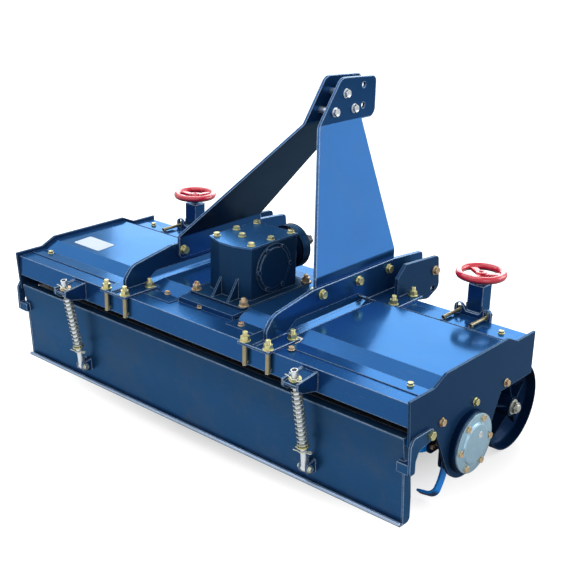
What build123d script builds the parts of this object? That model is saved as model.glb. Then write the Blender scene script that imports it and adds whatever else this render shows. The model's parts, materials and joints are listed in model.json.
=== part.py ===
"""Rotary tiller for a small farm tractor: hooded rotor between two end plates, centre gearbox
and gearcase, three-point mast, sprung tailgate and two screw-set gauge wheels.
Millimetres. X is across the machine (+X its right side), Y is forward, Z is up from the floor."""
import os
from math import atan2, cos, degrees, hypot, radians, sin, sqrt
from build123d import *

os.makedirs("parts", exist_ok=True)

# ---------------------------------------------------------------- driving sizes
width = 1700.0                # over the end plates
tine_reach = 212.0            # rotor axis to tine tips
rotor_drop = 218.0            # rotor axis below the top of the two beams
rotor_y = 292.0               # rotor axis ahead of the rear beam's rear face
fit_gap = 0.3                 # clearance between faces that move on each other
shaft_gap = 0.06              # radial running clearance of a shaft in its bore

beam_depth = 90.0
beam_height = 70.0
beam_wall = 5.0
beam_pitch = 541.0            # rear face of the rear beam to rear face of the front beam

end_plate_t = 8.0
end_plate_rise = 13.0         # the plate's edge above the beams
end_plate_low = 124.0         # lower edge below the top of the beams
hub_plate_r = 112.0           # the plate's round lower end about the rotor

hood_t = 3.0
hood_rise = 25.0              # level top of the hood above the beams
hood_slope_run = 55.0
hood_lap = 45.0               # hood flange on each beam
hood_end_slope = 36.0

gearcase_half = 42.0
gearcase_r = 82.0

seat_t = 10.0
seat_rise = 6.0
gearbox_half = 91.0
gearbox_y0 = 205.0            # rear corners; the rear wall stands out as a prow
gearbox_y1 = 420.0
gearbox_prow = 22.0
gearbox_prow_half = 30.0
gearbox_top = 194.0
base_t = 10.0
base_rear = 69.0              # base flange behind the rear corners
base_front = 55.0
cover_t = 6.0
side_cap_rise = 113.0
side_cap_r = 80.0
input_rise = 118.0            # gearbox shafts above the top of the beams
pto_r = 17.45
pto_out = 173.0               # stub ahead of the gearbox body
pto_spline = 78.0

seat_half = 118.0

rail_x = 303.0                # inner face of each longitudinal rail
rail_t = 12.0
rail_rise = 111.0             # top edge of the rails
rail_arch = 39.0              # lower edge of the rails between their feet
foot_t = 8.0
foot_inward = 55.0            # the feet reach this far inside the rail
foot_past = 28.0              # and this far past the beam's faces over the hood
rear_foot_behind = 24.0
rear_foot_outward = 66.0
front_foot_outward = 61.0     # past the ear's inner face
ear_x = 369.0                 # inner face of each outer hitch ear
ear_t = 12.0
hitch_bore_r = 11.25
hitch_pin_ahead = 162.0       # ahead of the front beam
hitch_pin_rise = -15.0
nose_rise = 97.0              # top front corner of rails and ears

mast_t = 10.0
mast_tab_x = 27.0             # inner face of each top tab
mast_bend_rise = 512.0
mast_foot_rise = 136.0
mast_ahead = 252.0            # front edge of the top tabs ahead of the front beam
mast_rear_y = 262.0           # rear edge of the bottom tabs
link_bore_r = 9.75
link_back = 69.0              # top link holes behind the tabs' front edge
link_rises = (556.0, 625.0)

plate_over = 10.0             # end plates reach this far ahead of the front beam

clamp_r = 8.0                 # rod of the U-bolts
clamp_gap = 0.5
nut_r = 13.85
nut_h = 14.0
washer_r = 16.5
washer_t = 3.0
clamp_inward = 38.0           # inner U-bolts from the rail's inner face
rear_clamp_outward = 52.0
front_clamp_outward = 36.0    # past the ear's inner face

bearing_r = 95.0
bearing_ring_t = 18.0
cap_r = 90.0
cap_t = 8.0
dome_r = 62.0
dome_t = 8.0

tube_r = 38.0                 # rotor tube
stub_r = 22.0
holder_reach = 114.0
holder_w = 46.0
holder_t = 7.0
tine_t = 8.0
tine_w = 28.0
foot_len = 55.0
station_count = 5
station_inset = 65.0          # outermost ring of tines, in from the end plate's outer face
station_inner = 97.0
tines_round = 4

hinge_y = 82.0
hinge_drop = 114.0
gate_t = 4.0
gate_flange = 32.0            # top flange, bent forward
gate_top_drop = 103.5
gate_bottom_drop = 380.0
gate_gap = 12.0               # between the tailgate's ends and the end plates
arm_t = 8.0
arm_gap = 2.0                 # between the arms and the end plates
arm_low = 205.0               # the arm's tab below the beams
arm_tab_h = 29.0
hinge_pin_r = 8.0

rod_inset = 346.0             # spring rods, in from the end plate's outer face
rod_r = 10.5                  # outside of the rod's tube
rod_wall = 3.0
rod_top_y = -60.0
rod_top_drop = 25.0
rod_foot_y = -6.0
rod_foot_drop = 317.0
eye_half = 9.0
spring_r = 16.5
spring_wire = 4.0
spring_turns = 12

leg_inset = 216.0             # gauge wheel legs, likewise
leg_clamp_half = 49.0         # U-bolts of each depth bracket from its middle
sleeve_w = 54.0
sleeve_d = 50.0
sleeve_wall = 4.0
wheel_r = 145.0
wheel_inset = 75.0            # outer face of each gauge wheel, likewise
wheel_w = 62.0
axle_r = 12.5
axle_ahead = 26.0
sleeve_rise = 103.0           # top of the sleeve above the beams
handwheel_r = 80.0
handwheel_rise = 134.0

# ---------------------------------------------------------------- worked-out places
rotor_z = tine_reach
deck = rotor_z + rotor_drop   # top of the beams
half = width / 2
inner_face = half - end_plate_t
front_y = beam_pitch + beam_depth
hitch_pin_y = front_y + hitch_pin_ahead
mast_front_y = front_y + mast_ahead
link_y = mast_front_y - link_back
gate_half = inner_face - gate_gap
station_outer = half - station_inset
rod_x = half - rod_inset
leg_x = half - leg_inset
wheel_face = half - wheel_inset
hood_y0 = beam_depth + 12
hood_y1 = beam_pitch - 3
seat_z = deck + seat_rise
base_z = seat_z + seat_t
bracket_t = 10.0              # clamp plate of each gauge wheel post
leg_clamp_rise = hood_t + clamp_r + clamp_gap
leg_y = front_y + bracket_t + sleeve_d / 2
rear_most_y = -86.0           # rear edge of the spring brackets
origin_y = (mast_front_y + rear_most_y) / 2


# ---------------------------------------------------------------- helpers
def save(node, shape):
    """Write one piece, with the machine's middle on the origin."""
    shape = Pos(0, -origin_y, 0) * shape
    shape.label = node
    export_step(shape, f"parts/{node}.step")


def block(x0, x1, y0, y1, z0, z1):
    """A box between two corners."""
    return Pos((x0 + x1) / 2, (y0 + y1) / 2, (z0 + z1) / 2) * Box(x1 - x0, y1 - y0, z1 - z0)


def outline(corners):
    """A face from corners (a, b) or (a, b, corner radius)."""
    points = [corner[:2] for corner in corners]
    rounds = [corner[2] if len(corner) > 2 else 0 for corner in corners]
    return make_face(FilletPolyline(*points, radius=rounds, close=True))


def side_plate(corners, x0, x1):
    """A plate across X from a side view given as (y, rise above the beams)."""
    placed = [(corner[0], corner[1] + deck, *corner[2:]) for corner in corners]
    return extrude(Plane.YZ.offset(x0) * outline(placed), x1 - x0)


def rod_x_axis(radius, x0, x1, y, z):
    """A round bar along X."""
    return Pos((x0 + x1) / 2, y, z) * Rot(0, 90, 0) * Cylinder(radius, x1 - x0)


def rod_y_axis(radius, y0, y1, x, z):
    """A round bar along Y."""
    return Pos(x, (y0 + y1) / 2, z) * Rot(90, 0, 0) * Cylinder(radius, y1 - y0)


def rod_z_axis(radius, z0, z1, x, y):
    """A round bar along Z."""
    return Pos(x, y, (z0 + z1) / 2) * Cylinder(radius, z1 - z0)


def both_sides(node, right):
    """Write a right-hand piece and its mirrored left-hand one."""
    save(f"{node}_right", right)
    save(f"{node}_left", mirror(right, Plane.YZ))


# ---------------------------------------------------------------- beams and end plates
def beam(y0):
    """A rectangular tube from end plate to end plate."""
    tube = block(-inner_face, inner_face, y0, y0 + beam_depth, deck - beam_height, deck)
    core = block(-inner_face, inner_face, y0 + beam_wall, y0 + beam_depth - beam_wall,
                 deck - beam_height + beam_wall, deck - beam_wall)
    return tube - core


def tangent_point(y, rise, side):
    """Where a line from (y, rise) touches the end plate's round lower end."""
    dy = y - rotor_y
    dz = rise + rotor_drop
    reach = hypot(dy, dz)
    along = hub_plate_r ** 2 / reach
    across = side * hub_plate_r * sqrt(reach ** 2 - hub_plate_r ** 2) / reach
    return (rotor_y + (dy * along - dz * across) / reach, -rotor_drop + (dz * along + dy * across) / reach)


def end_plate():
    """The side plate: it follows the hood's line and carries the rotor's bearing."""
    waist = 172.0
    rear_waist = (rotor_y - waist, -end_plate_low)
    front_waist = (rotor_y + waist, -end_plate_low)
    profile = [
        (-11, end_plate_rise), (hood_y0, end_plate_rise), (hood_y0 + hood_slope_run, end_plate_rise + hood_rise),
        (hood_y1 - hood_slope_run, end_plate_rise + hood_rise), (hood_y1, end_plate_rise), (front_y + plate_over, end_plate_rise),
        (front_y + plate_over, -end_plate_low), front_waist, tangent_point(*front_waist, -1), (rotor_y, -rotor_drop),
        tangent_point(*rear_waist, 1), rear_waist, (0, -end_plate_low)]
    plate = side_plate(profile, inner_face, half)
    plate += rod_x_axis(hub_plate_r, inner_face, half, rotor_y, rotor_z)
    plate -= rod_x_axis(stub_r + 12, inner_face - 1, half + 1, rotor_y, rotor_z)
    plate -= rod_x_axis(hinge_pin_r + shaft_gap, inner_face - 1, half + 1, hinge_y, deck - hinge_drop)
    return plate


def bearing():
    """Housing ring on the end plate, its cap, and the hub inside the plate."""
    ring_out = half + bearing_ring_t
    body = rod_x_axis(bearing_r, half, ring_out, rotor_y, rotor_z)
    hub = rod_x_axis(60, inner_face - 26, inner_face, rotor_y, rotor_z)
    neck = rod_x_axis(stub_r + 11.5, inner_face - 1, half + 1, rotor_y, rotor_z)
    body = body + hub + neck
    bore = rod_x_axis(stub_r + shaft_gap, inner_face - 30, half + 12, rotor_y, rotor_z)
    return body - bore


def bearing_cap():
    """Pressed cap with a raised round middle and an off-centre grease plug."""
    x0 = half + bearing_ring_t
    cap = rod_x_axis(cap_r, x0, x0 + cap_t, rotor_y, rotor_z)
    dome = Pos(x0 + cap_t + dome_t / 2, rotor_y, rotor_z) * Rot(0, 90, 0) * Cone(dome_r, dome_r - 6, dome_t)
    return cap + dome


save("rear_beam", beam(0))
save("front_beam", beam(beam_pitch))
both_sides("end_plate", end_plate())
both_sides("bearing", bearing())
both_sides("bearing_cap", bearing_cap())


# ---------------------------------------------------------------- hood
def hood_pan(x0, x1, slope0, slope1):
    """Raised tray of the hood between x0 and x1; each end slopes in by its own run."""
    def solid(shrink, low):
        bottom = (x0 + shrink * (slope0 > 0), x1 - shrink * (slope1 > 0), hood_y0 + shrink, hood_y1 - shrink)
        top = (bottom[0] + slope0, bottom[1] - slope1, bottom[2] + hood_slope_run, bottom[3] - hood_slope_run)
        faces = []
        for (ax, bx, ay, by), z in ((bottom, deck), (top, deck + hood_rise)):
            place = Pos((ax + bx) / 2, (ay + by) / 2, z - low)
            faces.append(place * Rectangle(bx - ax, by - ay))
        return loft(faces)
    return solid(0, 0) - solid(0.1, hood_t)


def hood_sheet(x0, x1, slope0, slope1):
    """Flat flanges on both beams with the raised tray between them."""
    flange = block(x0, x1, hood_y0 - 2 - hood_lap, beam_pitch + hood_lap, deck, deck + hood_t)
    pan0 = x0 + (26 if slope0 else 0)
    pan1 = x1 - (13 if slope1 else 0)
    flange -= block(pan0 + 1, pan1 - (1 if slope1 else -1), hood_y0 + 1, hood_y1 - 1, deck - 1, deck + hood_t + 1)
    return flange + hood_pan(pan0, pan1, slope0, slope1)


def foot_notches():
    """Room for the rails' clamp feet on both beams."""
    x0 = rail_x - foot_inward - 6
    rear = block(x0, rail_x + rear_foot_outward + 7, 0, beam_depth + foot_past + 6, deck - 1, deck + hood_rise)
    front = block(x0, ear_x + front_foot_outward + 12, beam_pitch - foot_past, front_y, deck - 1, deck + hood_rise)
    notch = rear + front
    for x in (leg_x - leg_clamp_half, leg_x + leg_clamp_half):
        notch += block(x - 10, x + 10, beam_pitch - 19, beam_pitch + 1, deck - 1, deck + hood_rise)
    return notch


def hood_side():
    """Right-hand hood half, from the rail out to the end plate."""
    split = rail_x + rail_t / 2
    return hood_sheet(split, inner_face, hood_end_slope, 0) - foot_notches()


def hood_centre():
    """Hood between the rails, cut out round the gearbox."""
    split = rail_x + rail_t / 2
    side = hood_sheet(0, split, 0, hood_end_slope) - foot_notches()
    sheet = side + mirror(side, Plane.YZ)
    cut = block(-seat_half - 6, seat_half + 6, hood_y0 - 3 - hood_lap, beam_pitch + 1, deck - 5, deck + hood_rise + 5)
    return sheet - cut


both_sides("hood", hood_side())
save("hood_centre", hood_centre())


# ---------------------------------------------------------------- gearbox
def gearbox_seat():
    """Plate between the beams that the gearbox stands on."""
    plate = block(-seat_half, seat_half, beam_depth, beam_pitch, seat_z, base_z)
    for y0 in (beam_depth, beam_pitch - seat_t):
        plate += block(-seat_half, seat_half, y0, y0 + seat_t, deck - 30, base_z)
    return plate


def gearbox_plan(grow):
    """Top view of the gearbox body: a square front and a rear wall that stands out in the middle."""
    x = gearbox_half + grow
    y0 = gearbox_y0 - grow
    prow = gearbox_prow_half
    return outline([(-x, y0, 5), (-prow, y0 - gearbox_prow, 25), (prow, y0 - gearbox_prow, 25), (x, y0, 5),
                    (x, gearbox_y1 + grow, 5), (-x, gearbox_y1 + grow, 5)])


def gearbox_housing():
    """Cast body, base flange, input boss in front and two ribs behind."""
    flange_z = base_z + base_t
    body = extrude(Pos(0, 0, flange_z) * gearbox_plan(0), deck + gearbox_top - flange_z)
    base_y0 = gearbox_y0 - base_rear
    base_y1 = gearbox_y1 + base_front
    base = outline([(-seat_half, base_y0, 12), (seat_half, base_y0, 12),
                    (seat_half, base_y1, 12), (-seat_half, base_y1, 12)])
    body += extrude(Pos(0, 0, base_z) * base, base_t)
    for x in (-22, 45):
        rib = Polyline((base_y0 + 8, flange_z), (gearbox_y0 - 8, flange_z), (gearbox_y0 - 8, flange_z + 78), close=True)
        body += extrude(Plane.YZ.offset(x - 4) * make_face(rib), 8)
    body += rod_y_axis(gearbox_top - input_rise - 1.5, gearbox_y1, gearbox_y1 + 18, 0, deck + input_rise)
    body += rod_y_axis(60, gearbox_y1, gearbox_y1 + 65, 0, deck + input_rise)
    body -= rod_y_axis(pto_r + shaft_gap, gearbox_y1 - 40, gearbox_y1 + 80, 0, deck + input_rise)
    return body


def gearbox_side_cap():
    """Bolted bearing cap on the gearbox's side."""
    y = (gearbox_y0 + gearbox_y1) / 2 - 9
    z = deck + side_cap_rise
    cap = rod_x_axis(side_cap_r, gearbox_half, gearbox_half + 5, y, z)
    cap += rod_x_axis(side_cap_r - 13, gearbox_half, gearbox_half + 9, y, z)
    return cap


def gearcase():
    """Narrow case that takes the drive from the gearbox down to the rotor."""
    neck = 70.0
    case = block(-gearcase_half, gearcase_half, rotor_y - neck, rotor_y + neck, rotor_z, seat_z)
    case += rod_x_axis(gearcase_r, -gearcase_half, gearcase_half, rotor_y, rotor_z)
    case -= rod_x_axis(stub_r + shaft_gap, -gearcase_half - 1, gearcase_half + 1, rotor_y, rotor_z)
    return case


def pto_shaft():
    """Six-spline input stub with the groove that the coupling's latch drops into."""
    z = deck + input_rise
    tip = gearbox_y1 + pto_out
    root_r = pto_r - 2.6
    shaft = rod_y_axis(pto_r, gearbox_y1 - 38, tip, 0, z)
    sector = Plane.XZ.offset(-tip) * Pos(0, z) * Rectangle(8.4, 8, align=(Align.CENTER, Align.MIN))
    for k in range(6):
        cut = extrude(Pos(0, 0, root_r) * sector, pto_spline)
        shaft -= Pos(0, 0, z) * Rot(0, 60 * k, 0) * Pos(0, 0, -z) * cut
    groove_y = tip - 38
    groove = rod_y_axis(pto_r + 2, groove_y, groove_y + 6.5, 0, z) - rod_y_axis(root_r, groove_y - 1, groove_y + 8, 0, z)
    return shaft - groove


save("gearbox_seat", gearbox_seat())
save("gearbox_housing", gearbox_housing())
save("gearbox_cover", extrude(Pos(0, 0, deck + gearbox_top) * gearbox_plan(2), cover_t))
both_sides("gearbox_cap", gearbox_side_cap())
save("gearcase", gearcase())
save("pto_shaft", pto_shaft())


# ---------------------------------------------------------------- rails, ears, mast
def hitch_nose():
    """Front end of a rail or an ear round its hitch pin, from below to the top corner."""
    return [(hitch_pin_y - 80, hitch_pin_rise - 20, 20), (hitch_pin_y - 24, hitch_pin_rise - 30, 30),
            (hitch_pin_y + 38, hitch_pin_rise - 2, 25), (hitch_pin_y + 24, nose_rise, 15)]


def rail():
    """Longitudinal rail on its two clamp feet; its front end is the inner hitch ear."""
    lower = [(30, foot_t), (beam_depth + foot_past, foot_t, 14), (beam_depth + 70, rail_arch, 40),
             (beam_pitch - 83, rail_arch, 20), (beam_pitch - 19, foot_t, 10), (front_y + foot_past, foot_t, 10)]
    upper = [(front_y + 23, rail_rise), (237, rail_rise, 60), (60, rail_rise - 31, 60), (28, rail_arch, 20)]
    plate = side_plate(lower + hitch_nose() + upper, rail_x, rail_x + rail_t)
    foot_x0 = rail_x - foot_inward
    plate += block(foot_x0, rail_x + rear_foot_outward, -rear_foot_behind, beam_depth + foot_past, deck, deck + foot_t)
    plate += block(foot_x0, ear_x + front_foot_outward, beam_pitch - 24, front_y + foot_past, deck, deck + foot_t)
    plate -= rod_x_axis(hitch_bore_r, rail_x - 1, rail_x + rail_t + 1, hitch_pin_y, deck + hitch_pin_rise)
    for x, y in clamp_places():
        plate -= rod_z_axis(clamp_r + 1, deck - 1, deck + foot_t + 1, x, y)
    return plate


def clamp_rows():
    """Each U-bolt as (x, rear leg y, front leg y)."""
    gap = clamp_r + clamp_gap
    inner = rail_x - clamp_inward
    rear = [(x, -gap, beam_depth + gap) for x in (inner, rail_x + rear_clamp_outward)]
    front = [(x, beam_pitch - gap, front_y + gap) for x in (inner, ear_x + front_clamp_outward)]
    return rear + front


def clamp_places():
    """Every U-bolt leg as (x, y)."""
    return [(x, y) for x, y0, y1 in clamp_rows() for y in (y0, y1)]


def clamps(rows):
    """Square U-bolts round a beam, with washers and nuts on the foot plate."""
    piece = None
    low = deck - beam_height - clamp_r - clamp_gap
    seat = deck + foot_t
    high = seat + washer_t + 2 * nut_h
    for x, y0, y1 in rows:
        path = FilletPolyline((x, y0, high), (x, y0, low), (x, y1, low), (x, y1, high), radius=9.5)
        bar = sweep(Plane(origin=path @ 0, z_dir=path % 0) * Circle(clamp_r), path=path)
        for y in (y0, y1):
            bar += rod_z_axis(washer_r, seat, seat + washer_t, x, y)
            bar += extrude(Pos(x, y, seat + washer_t) * RegularPolygon(nut_r, 6), nut_h)
        piece = bar if piece is None else piece + bar
    return piece


def hitch_ear():
    """Outer ear of the lower hitch."""
    rear = [(front_y + foot_past + 4, foot_t, 6), (front_y - 46, foot_t), (front_y - 46, 72), (front_y - 3, rail_rise, 6)]
    plate = side_plate(rear + hitch_nose()[::-1], ear_x, ear_x + ear_t)
    plate -= rod_x_axis(hitch_bore_r, ear_x - 1, ear_x + ear_t + 1, hitch_pin_y, deck + hitch_pin_rise)
    return plate


def mast_plate():
    """One bent mast plate: top tab, leaning panel and bottom tab."""
    tab = mast_tab_x + mast_t / 2
    foot = rail_x - mast_t / 2
    bends = FilletPolyline((tab, deck + 700), (tab, deck + mast_bend_rise), (foot, deck + mast_foot_rise),
                           (foot, deck + 50), radius=18)
    section = Plane.XZ.offset(-200) * trace(bends, line_width=mast_t)
    front = mast_front_y
    profile = [
        (mast_rear_y, 58, 12), (mast_rear_y, mast_foot_rise), (front - 299, mast_bend_rise, 20),
        (front - 189, 662, 40), (front, 650, 22), (front, mast_bend_rise - 1, 30),
        (front - 75, mast_bend_rise - 1), (front_y + 36, mast_foot_rise), (front_y + 36, 58, 12)]
    plate = extrude(section, -750) & side_plate(profile, 0, rail_x + 10)
    for rise in link_rises:
        plate -= rod_x_axis(link_bore_r, mast_tab_x - 1, mast_tab_x + mast_t + 1, link_y, deck + rise)
    return plate


def spacer(y, rise):
    """Tube between the two mast tabs."""
    return rod_x_axis(11, -mast_tab_x, mast_tab_x, y, deck + rise)


both_sides("rail", rail())
both_sides("rear_clamp", clamps(clamp_rows()[:2]))
both_sides("front_clamp", clamps(clamp_rows()[2:]))
both_sides("hitch_ear", hitch_ear())
both_sides("mast_plate", mast_plate())
spacer_places = ((-194, 613), (-250, 558), (-146, 555))   # (y from the tabs' front edge, rise)
save("mast_spacers", Compound(children=[spacer(mast_front_y + y, rise) for y, rise in spacer_places]))


# ---------------------------------------------------------------- rotor
def stations():
    """X of each ring of tines on the right-hand rotor half, outermost first."""
    step = (station_outer - station_inner) / (station_count - 1)
    return [station_outer - step * k for k in range(station_count)]


def turned(shape, angle):
    """A rotor piece turned about the rotor's axis; positive swings its bottom to the rear."""
    return Pos(0, rotor_y, rotor_z) * Rot(-angle, 0, 0) * shape


def tine_turns(k):
    """Turn of each tine in ring k."""
    return [360 / tines_round * n - 18 * k for n in range(tines_round)]


def tine(x, lean):
    """A flat shank that curves to the rear and ends in a foot bent sideways; axis at the origin."""
    inner = 60.0
    tip0 = radians(17)
    tip1 = radians(26)
    lead_tip = (-tine_reach * sin(tip0), -tine_reach * cos(tip0))
    back_tip = (-tine_reach * sin(tip1), -tine_reach * cos(tip1))
    half_w = tine_w / 2
    lead = ThreePointArc((half_w, -inner), (-4, -136), lead_tip)
    tip = ThreePointArc(lead_tip, (-tine_reach * sin((tip0 + tip1) / 2), -tine_reach * cos((tip0 + tip1) / 2)), back_tip)
    back = ThreePointArc(back_tip, (-38, -128), (-half_w, -inner))
    root = Line((-half_w, -inner), (half_w, -inner))
    shank = extrude(Plane.YZ.offset(x - tine_t / 2) * make_face(lead + tip + back + root), tine_t)
    swing = degrees(tip1 - tip0) + 4
    band = make_face(Polyline((0, -tine_reach), (0, -tine_reach + tine_t), (foot_len * lean, -tine_reach + tine_t), (foot_len * lean, -tine_reach), close=True))
    band = Plane.XZ * band
    foot = revolve(band, Axis.X, -swing)
    foot = Pos(x, 0, 0) * Rot(-17, 0, 0) * foot
    return shank + foot


def holder(x):
    """Two welded cheeks that grip a tine."""
    lobe = outline([(-holder_w / 2, -30), (holder_w / 2, -30), (holder_w / 2, -holder_reach, 20), (-holder_w / 2, -holder_reach, 20)])
    cheeks = None
    for x0 in (x - tine_t / 2 - holder_t, x + tine_t / 2):
        cheek = extrude(Plane.YZ.offset(x0) * lobe, holder_t)
        cheeks = cheek if cheeks is None else cheeks + cheek
    return cheeks


def rotor_half():
    """Tube, stub axles and tine holders right of the gearcase."""
    x0 = gearcase_half + 6
    x1 = station_outer + 22
    shape = rod_x_axis(tube_r, x0, x1, rotor_y, rotor_z)
    shape += rod_x_axis(stub_r, 0, half + 10, rotor_y, rotor_z)
    for k, x in enumerate(stations()):
        grip = holder(x)
        for turn in tine_turns(k):
            shape += turned(grip, turn)
    return shape


def tines_half():
    """All tines of the right-hand half; end rings lean one way, the others alternate."""
    pieces = []
    for k, x in enumerate(stations()):
        for n, turn in enumerate(tine_turns(k)):
            lean = -1 if n % 2 == 0 else 1
            if k == 0:
                lean = -1
            if k == station_count - 1:
                lean = 1
            pieces.append(turned(tine(x, lean), turn))
    return Compound(children=pieces)


both_sides("rotor", rotor_half())
both_sides("tines", tines_half())


# ---------------------------------------------------------------- tailgate and its spring rods
def tailgate():
    """Curved sheet with a top flange, bottom lip, end flanges, hinge arms and the rods' clevises."""
    top = (2, deck - gate_top_drop)
    bottom = (26, deck - gate_bottom_drop)
    belly = (20, deck - (gate_top_drop + gate_bottom_drop) / 2)
    front = ThreePointArc(top, belly, bottom)
    rear = ThreePointArc((bottom[0] - gate_t, bottom[1]), (belly[0] - gate_t, belly[1]), (top[0] - gate_t, top[1]))
    section = make_face(front + Line(front @ 1, rear @ 0) + rear + Line(rear @ 1, front @ 0))
    gate = extrude(Plane.YZ.offset(-gate_half) * section, 2 * gate_half)
    flange = outline([(top[0] - gate_t, top[1] - gate_t), (top[0] - gate_t, top[1], 3),
                      (top[0] - gate_t + gate_flange, top[1]), (top[0] - gate_t + gate_flange, top[1] - 3)])
    gate += extrude(Plane.YZ.offset(-gate_half) * flange, 2 * gate_half)
    gate += block(-gate_half, gate_half, 8, 24, deck - gate_bottom_drop, deck - gate_bottom_drop + 4)
    low = -gate_bottom_drop
    side = side_plate([(6, -125), (36, -150, 12), (52, -300), (54, low, 14), (22, low), (14, -240)],
                      gate_half - 6, gate_half)
    arm_x = half + arm_gap
    lobe = 17.0
    arm = side_plate([(hinge_y + lobe, -hinge_drop + lobe, lobe - 0.1), (hinge_y + lobe, -hinge_drop - lobe, lobe - 0.1),
                      (32, -142, 20), (18, -168, 8), (18, -arm_low, 6), (-6, -arm_low, 6), (-8, -118, 14),
                      (6, -97, 14)], arm_x, arm_x + arm_t)
    tab = block(gate_half - 16, arm_x, -4, 18, deck - arm_low, deck - arm_low + arm_tab_h)
    pin = rod_x_axis(hinge_pin_r, inner_face - 10, arm_x + arm_t + 10, hinge_y, deck - hinge_drop)
    pin += rod_x_axis(12, inner_face - 10, inner_face - fit_gap, hinge_y, deck - hinge_drop)
    end = side + arm + tab + pin
    gate = gate + end + mirror(end, Plane.YZ)
    for side_x in (-rod_x, rod_x):
        for x0 in (side_x - eye_half - 6.3, side_x + eye_half + 0.3):
            gate += side_plate([(-20, -303, 10), (19, -296), (22, -338), (-20, -331, 10)], x0, x0 + 6)
        gate += rod_x_axis(6, side_x - eye_half - 10, side_x + eye_half + 10, rod_foot_y, deck - rod_foot_drop)
    return gate


def on_rod(shape):
    """Put a piece built along +Z from the rod's eye onto the right-hand spring rod."""
    lean = degrees(atan2(rod_foot_y - rod_top_y, rod_foot_drop - rod_top_drop))
    return Pos(rod_x, rod_foot_y, deck - rod_foot_drop) * Rot(lean, 0, 0) * shape


rod_span = hypot(rod_foot_y - rod_top_y, rod_foot_drop - rod_top_drop)
collar_z = rod_span - 217     # spring's lower washer along the rod
bracket_half_t = 4.0


def spring_rod():
    """Tube pinched flat at its eye, with the spring's washer and the top stop."""
    neck_z = 46.0
    flat = Pos(0, 0, 6) * RectangleRounded(2 * eye_half - 1, 24, 4)
    rod = loft([flat, Pos(0, 0, neck_z) * Circle(rod_r)])
    rod += rod_z_axis(rod_r, neck_z, rod_span + 38, 0, 0)
    rod += rod_x_axis(13, -eye_half, eye_half, 0, 0)
    rod += rod_z_axis(spring_r + 2.5, collar_z - 4, collar_z, 0, 0)
    stop_z = rod_span + bracket_half_t + fit_gap
    rod += rod_z_axis(spring_r + 1.5, stop_z, stop_z + 5, 0, 0)
    rod -= rod_z_axis(rod_r - rod_wall, rod_span + 8, rod_span + 39, 0, 0)
    rod -= rod_x_axis(6 + shaft_gap, -20, 20, 0, 0)
    return on_rod(rod)


def spring():
    """Compression spring between the rod's washer and the bracket."""
    low = collar_z + fit_gap + spring_wire / 2
    high = rod_span - bracket_half_t - fit_gap - spring_wire / 2
    coil_r = spring_r - spring_wire / 2
    path = Pos(0, 0, low) * Helix((high - low) / spring_turns, high - low, coil_r)
    return on_rod(sweep(Plane(origin=path @ 0, z_dir=path % 0) * RegularPolygon(spring_wire / 2, 6), path=path))


def spring_bracket():
    """Shelf and cheeks on the rear beam that guide the rod."""
    shelf = block(-26, 26, -24, 66, rod_span - bracket_half_t, rod_span + bracket_half_t)
    slot = rod_z_axis(rod_r + 1.5, rod_span - 10, rod_span + 10, 0, 4) + rod_z_axis(rod_r + 1.5, rod_span - 10, rod_span + 10, 0, -4)
    slot += block(-rod_r - 1.5, rod_r + 1.5, -4, 4, rod_span - 10, rod_span + 10)
    shape = on_rod(shelf - slot) - block(0, width, 0, beam_depth, deck - beam_height, deck + 20)
    for x0 in (rod_x - 30, rod_x + 24):
        shape += side_plate([(0, -6), (0, -66), (-66, -52, 10), (rear_most_y, -38, 8), (rear_most_y, -16)], x0, x0 + 6)
    return shape


save("tailgate", tailgate())
both_sides("spring_rod", spring_rod())
both_sides("spring", spring())
both_sides("spring_bracket", spring_bracket())


# ---------------------------------------------------------------- gauge wheels
def depth_bracket():
    """Clamp plate with slotted ears on the front beam, and the square sleeve of the leg."""
    y0 = front_y
    y1 = front_y + bracket_t
    low = -beam_height - 2 * clamp_r - 8
    ear = leg_clamp_half + 17.0
    waist = leg_clamp_half - 17.0
    right = [(ear, low, 10), (ear, 28, 17), (leg_clamp_half, 43, 17), (waist, 28, 8), (waist - 8, 14, 6)]
    corners = right + [(-x, *rest) for x, *rest in right[::-1]]
    plate = extrude(Plane.XZ.offset(-y0) * Pos(leg_x, deck) * outline(corners), -bracket_t)
    for x in (leg_x - leg_clamp_half, leg_x + leg_clamp_half):
        for rise in (leg_clamp_rise, -beam_height - clamp_r - clamp_gap):
            plate -= rod_y_axis(clamp_r + shaft_gap, y0 - 1, y1 + 1, x, deck + rise)
        slot = block(x - clamp_r - shaft_gap, x + clamp_r + shaft_gap, y0 - 1, y1 + 1, deck + leg_clamp_rise, deck + 28)
        plate -= slot + rod_y_axis(clamp_r + shaft_gap, y0 - 1, y1 + 1, x, deck + 28)
    sleeve = block(leg_x - sleeve_w / 2, leg_x + sleeve_w / 2, y1, y1 + sleeve_d, deck - 115, deck + sleeve_rise)
    cavity = block(leg_x - sleeve_w / 2 + sleeve_wall, leg_x + sleeve_w / 2 - sleeve_wall,
                   y1 + sleeve_wall, y1 + sleeve_d - sleeve_wall, deck - 116, deck + sleeve_rise - 6)
    return plate + (sleeve - cavity) + rod_z_axis(15, deck + sleeve_rise, deck + handwheel_rise - 14, leg_x, leg_y)


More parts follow.
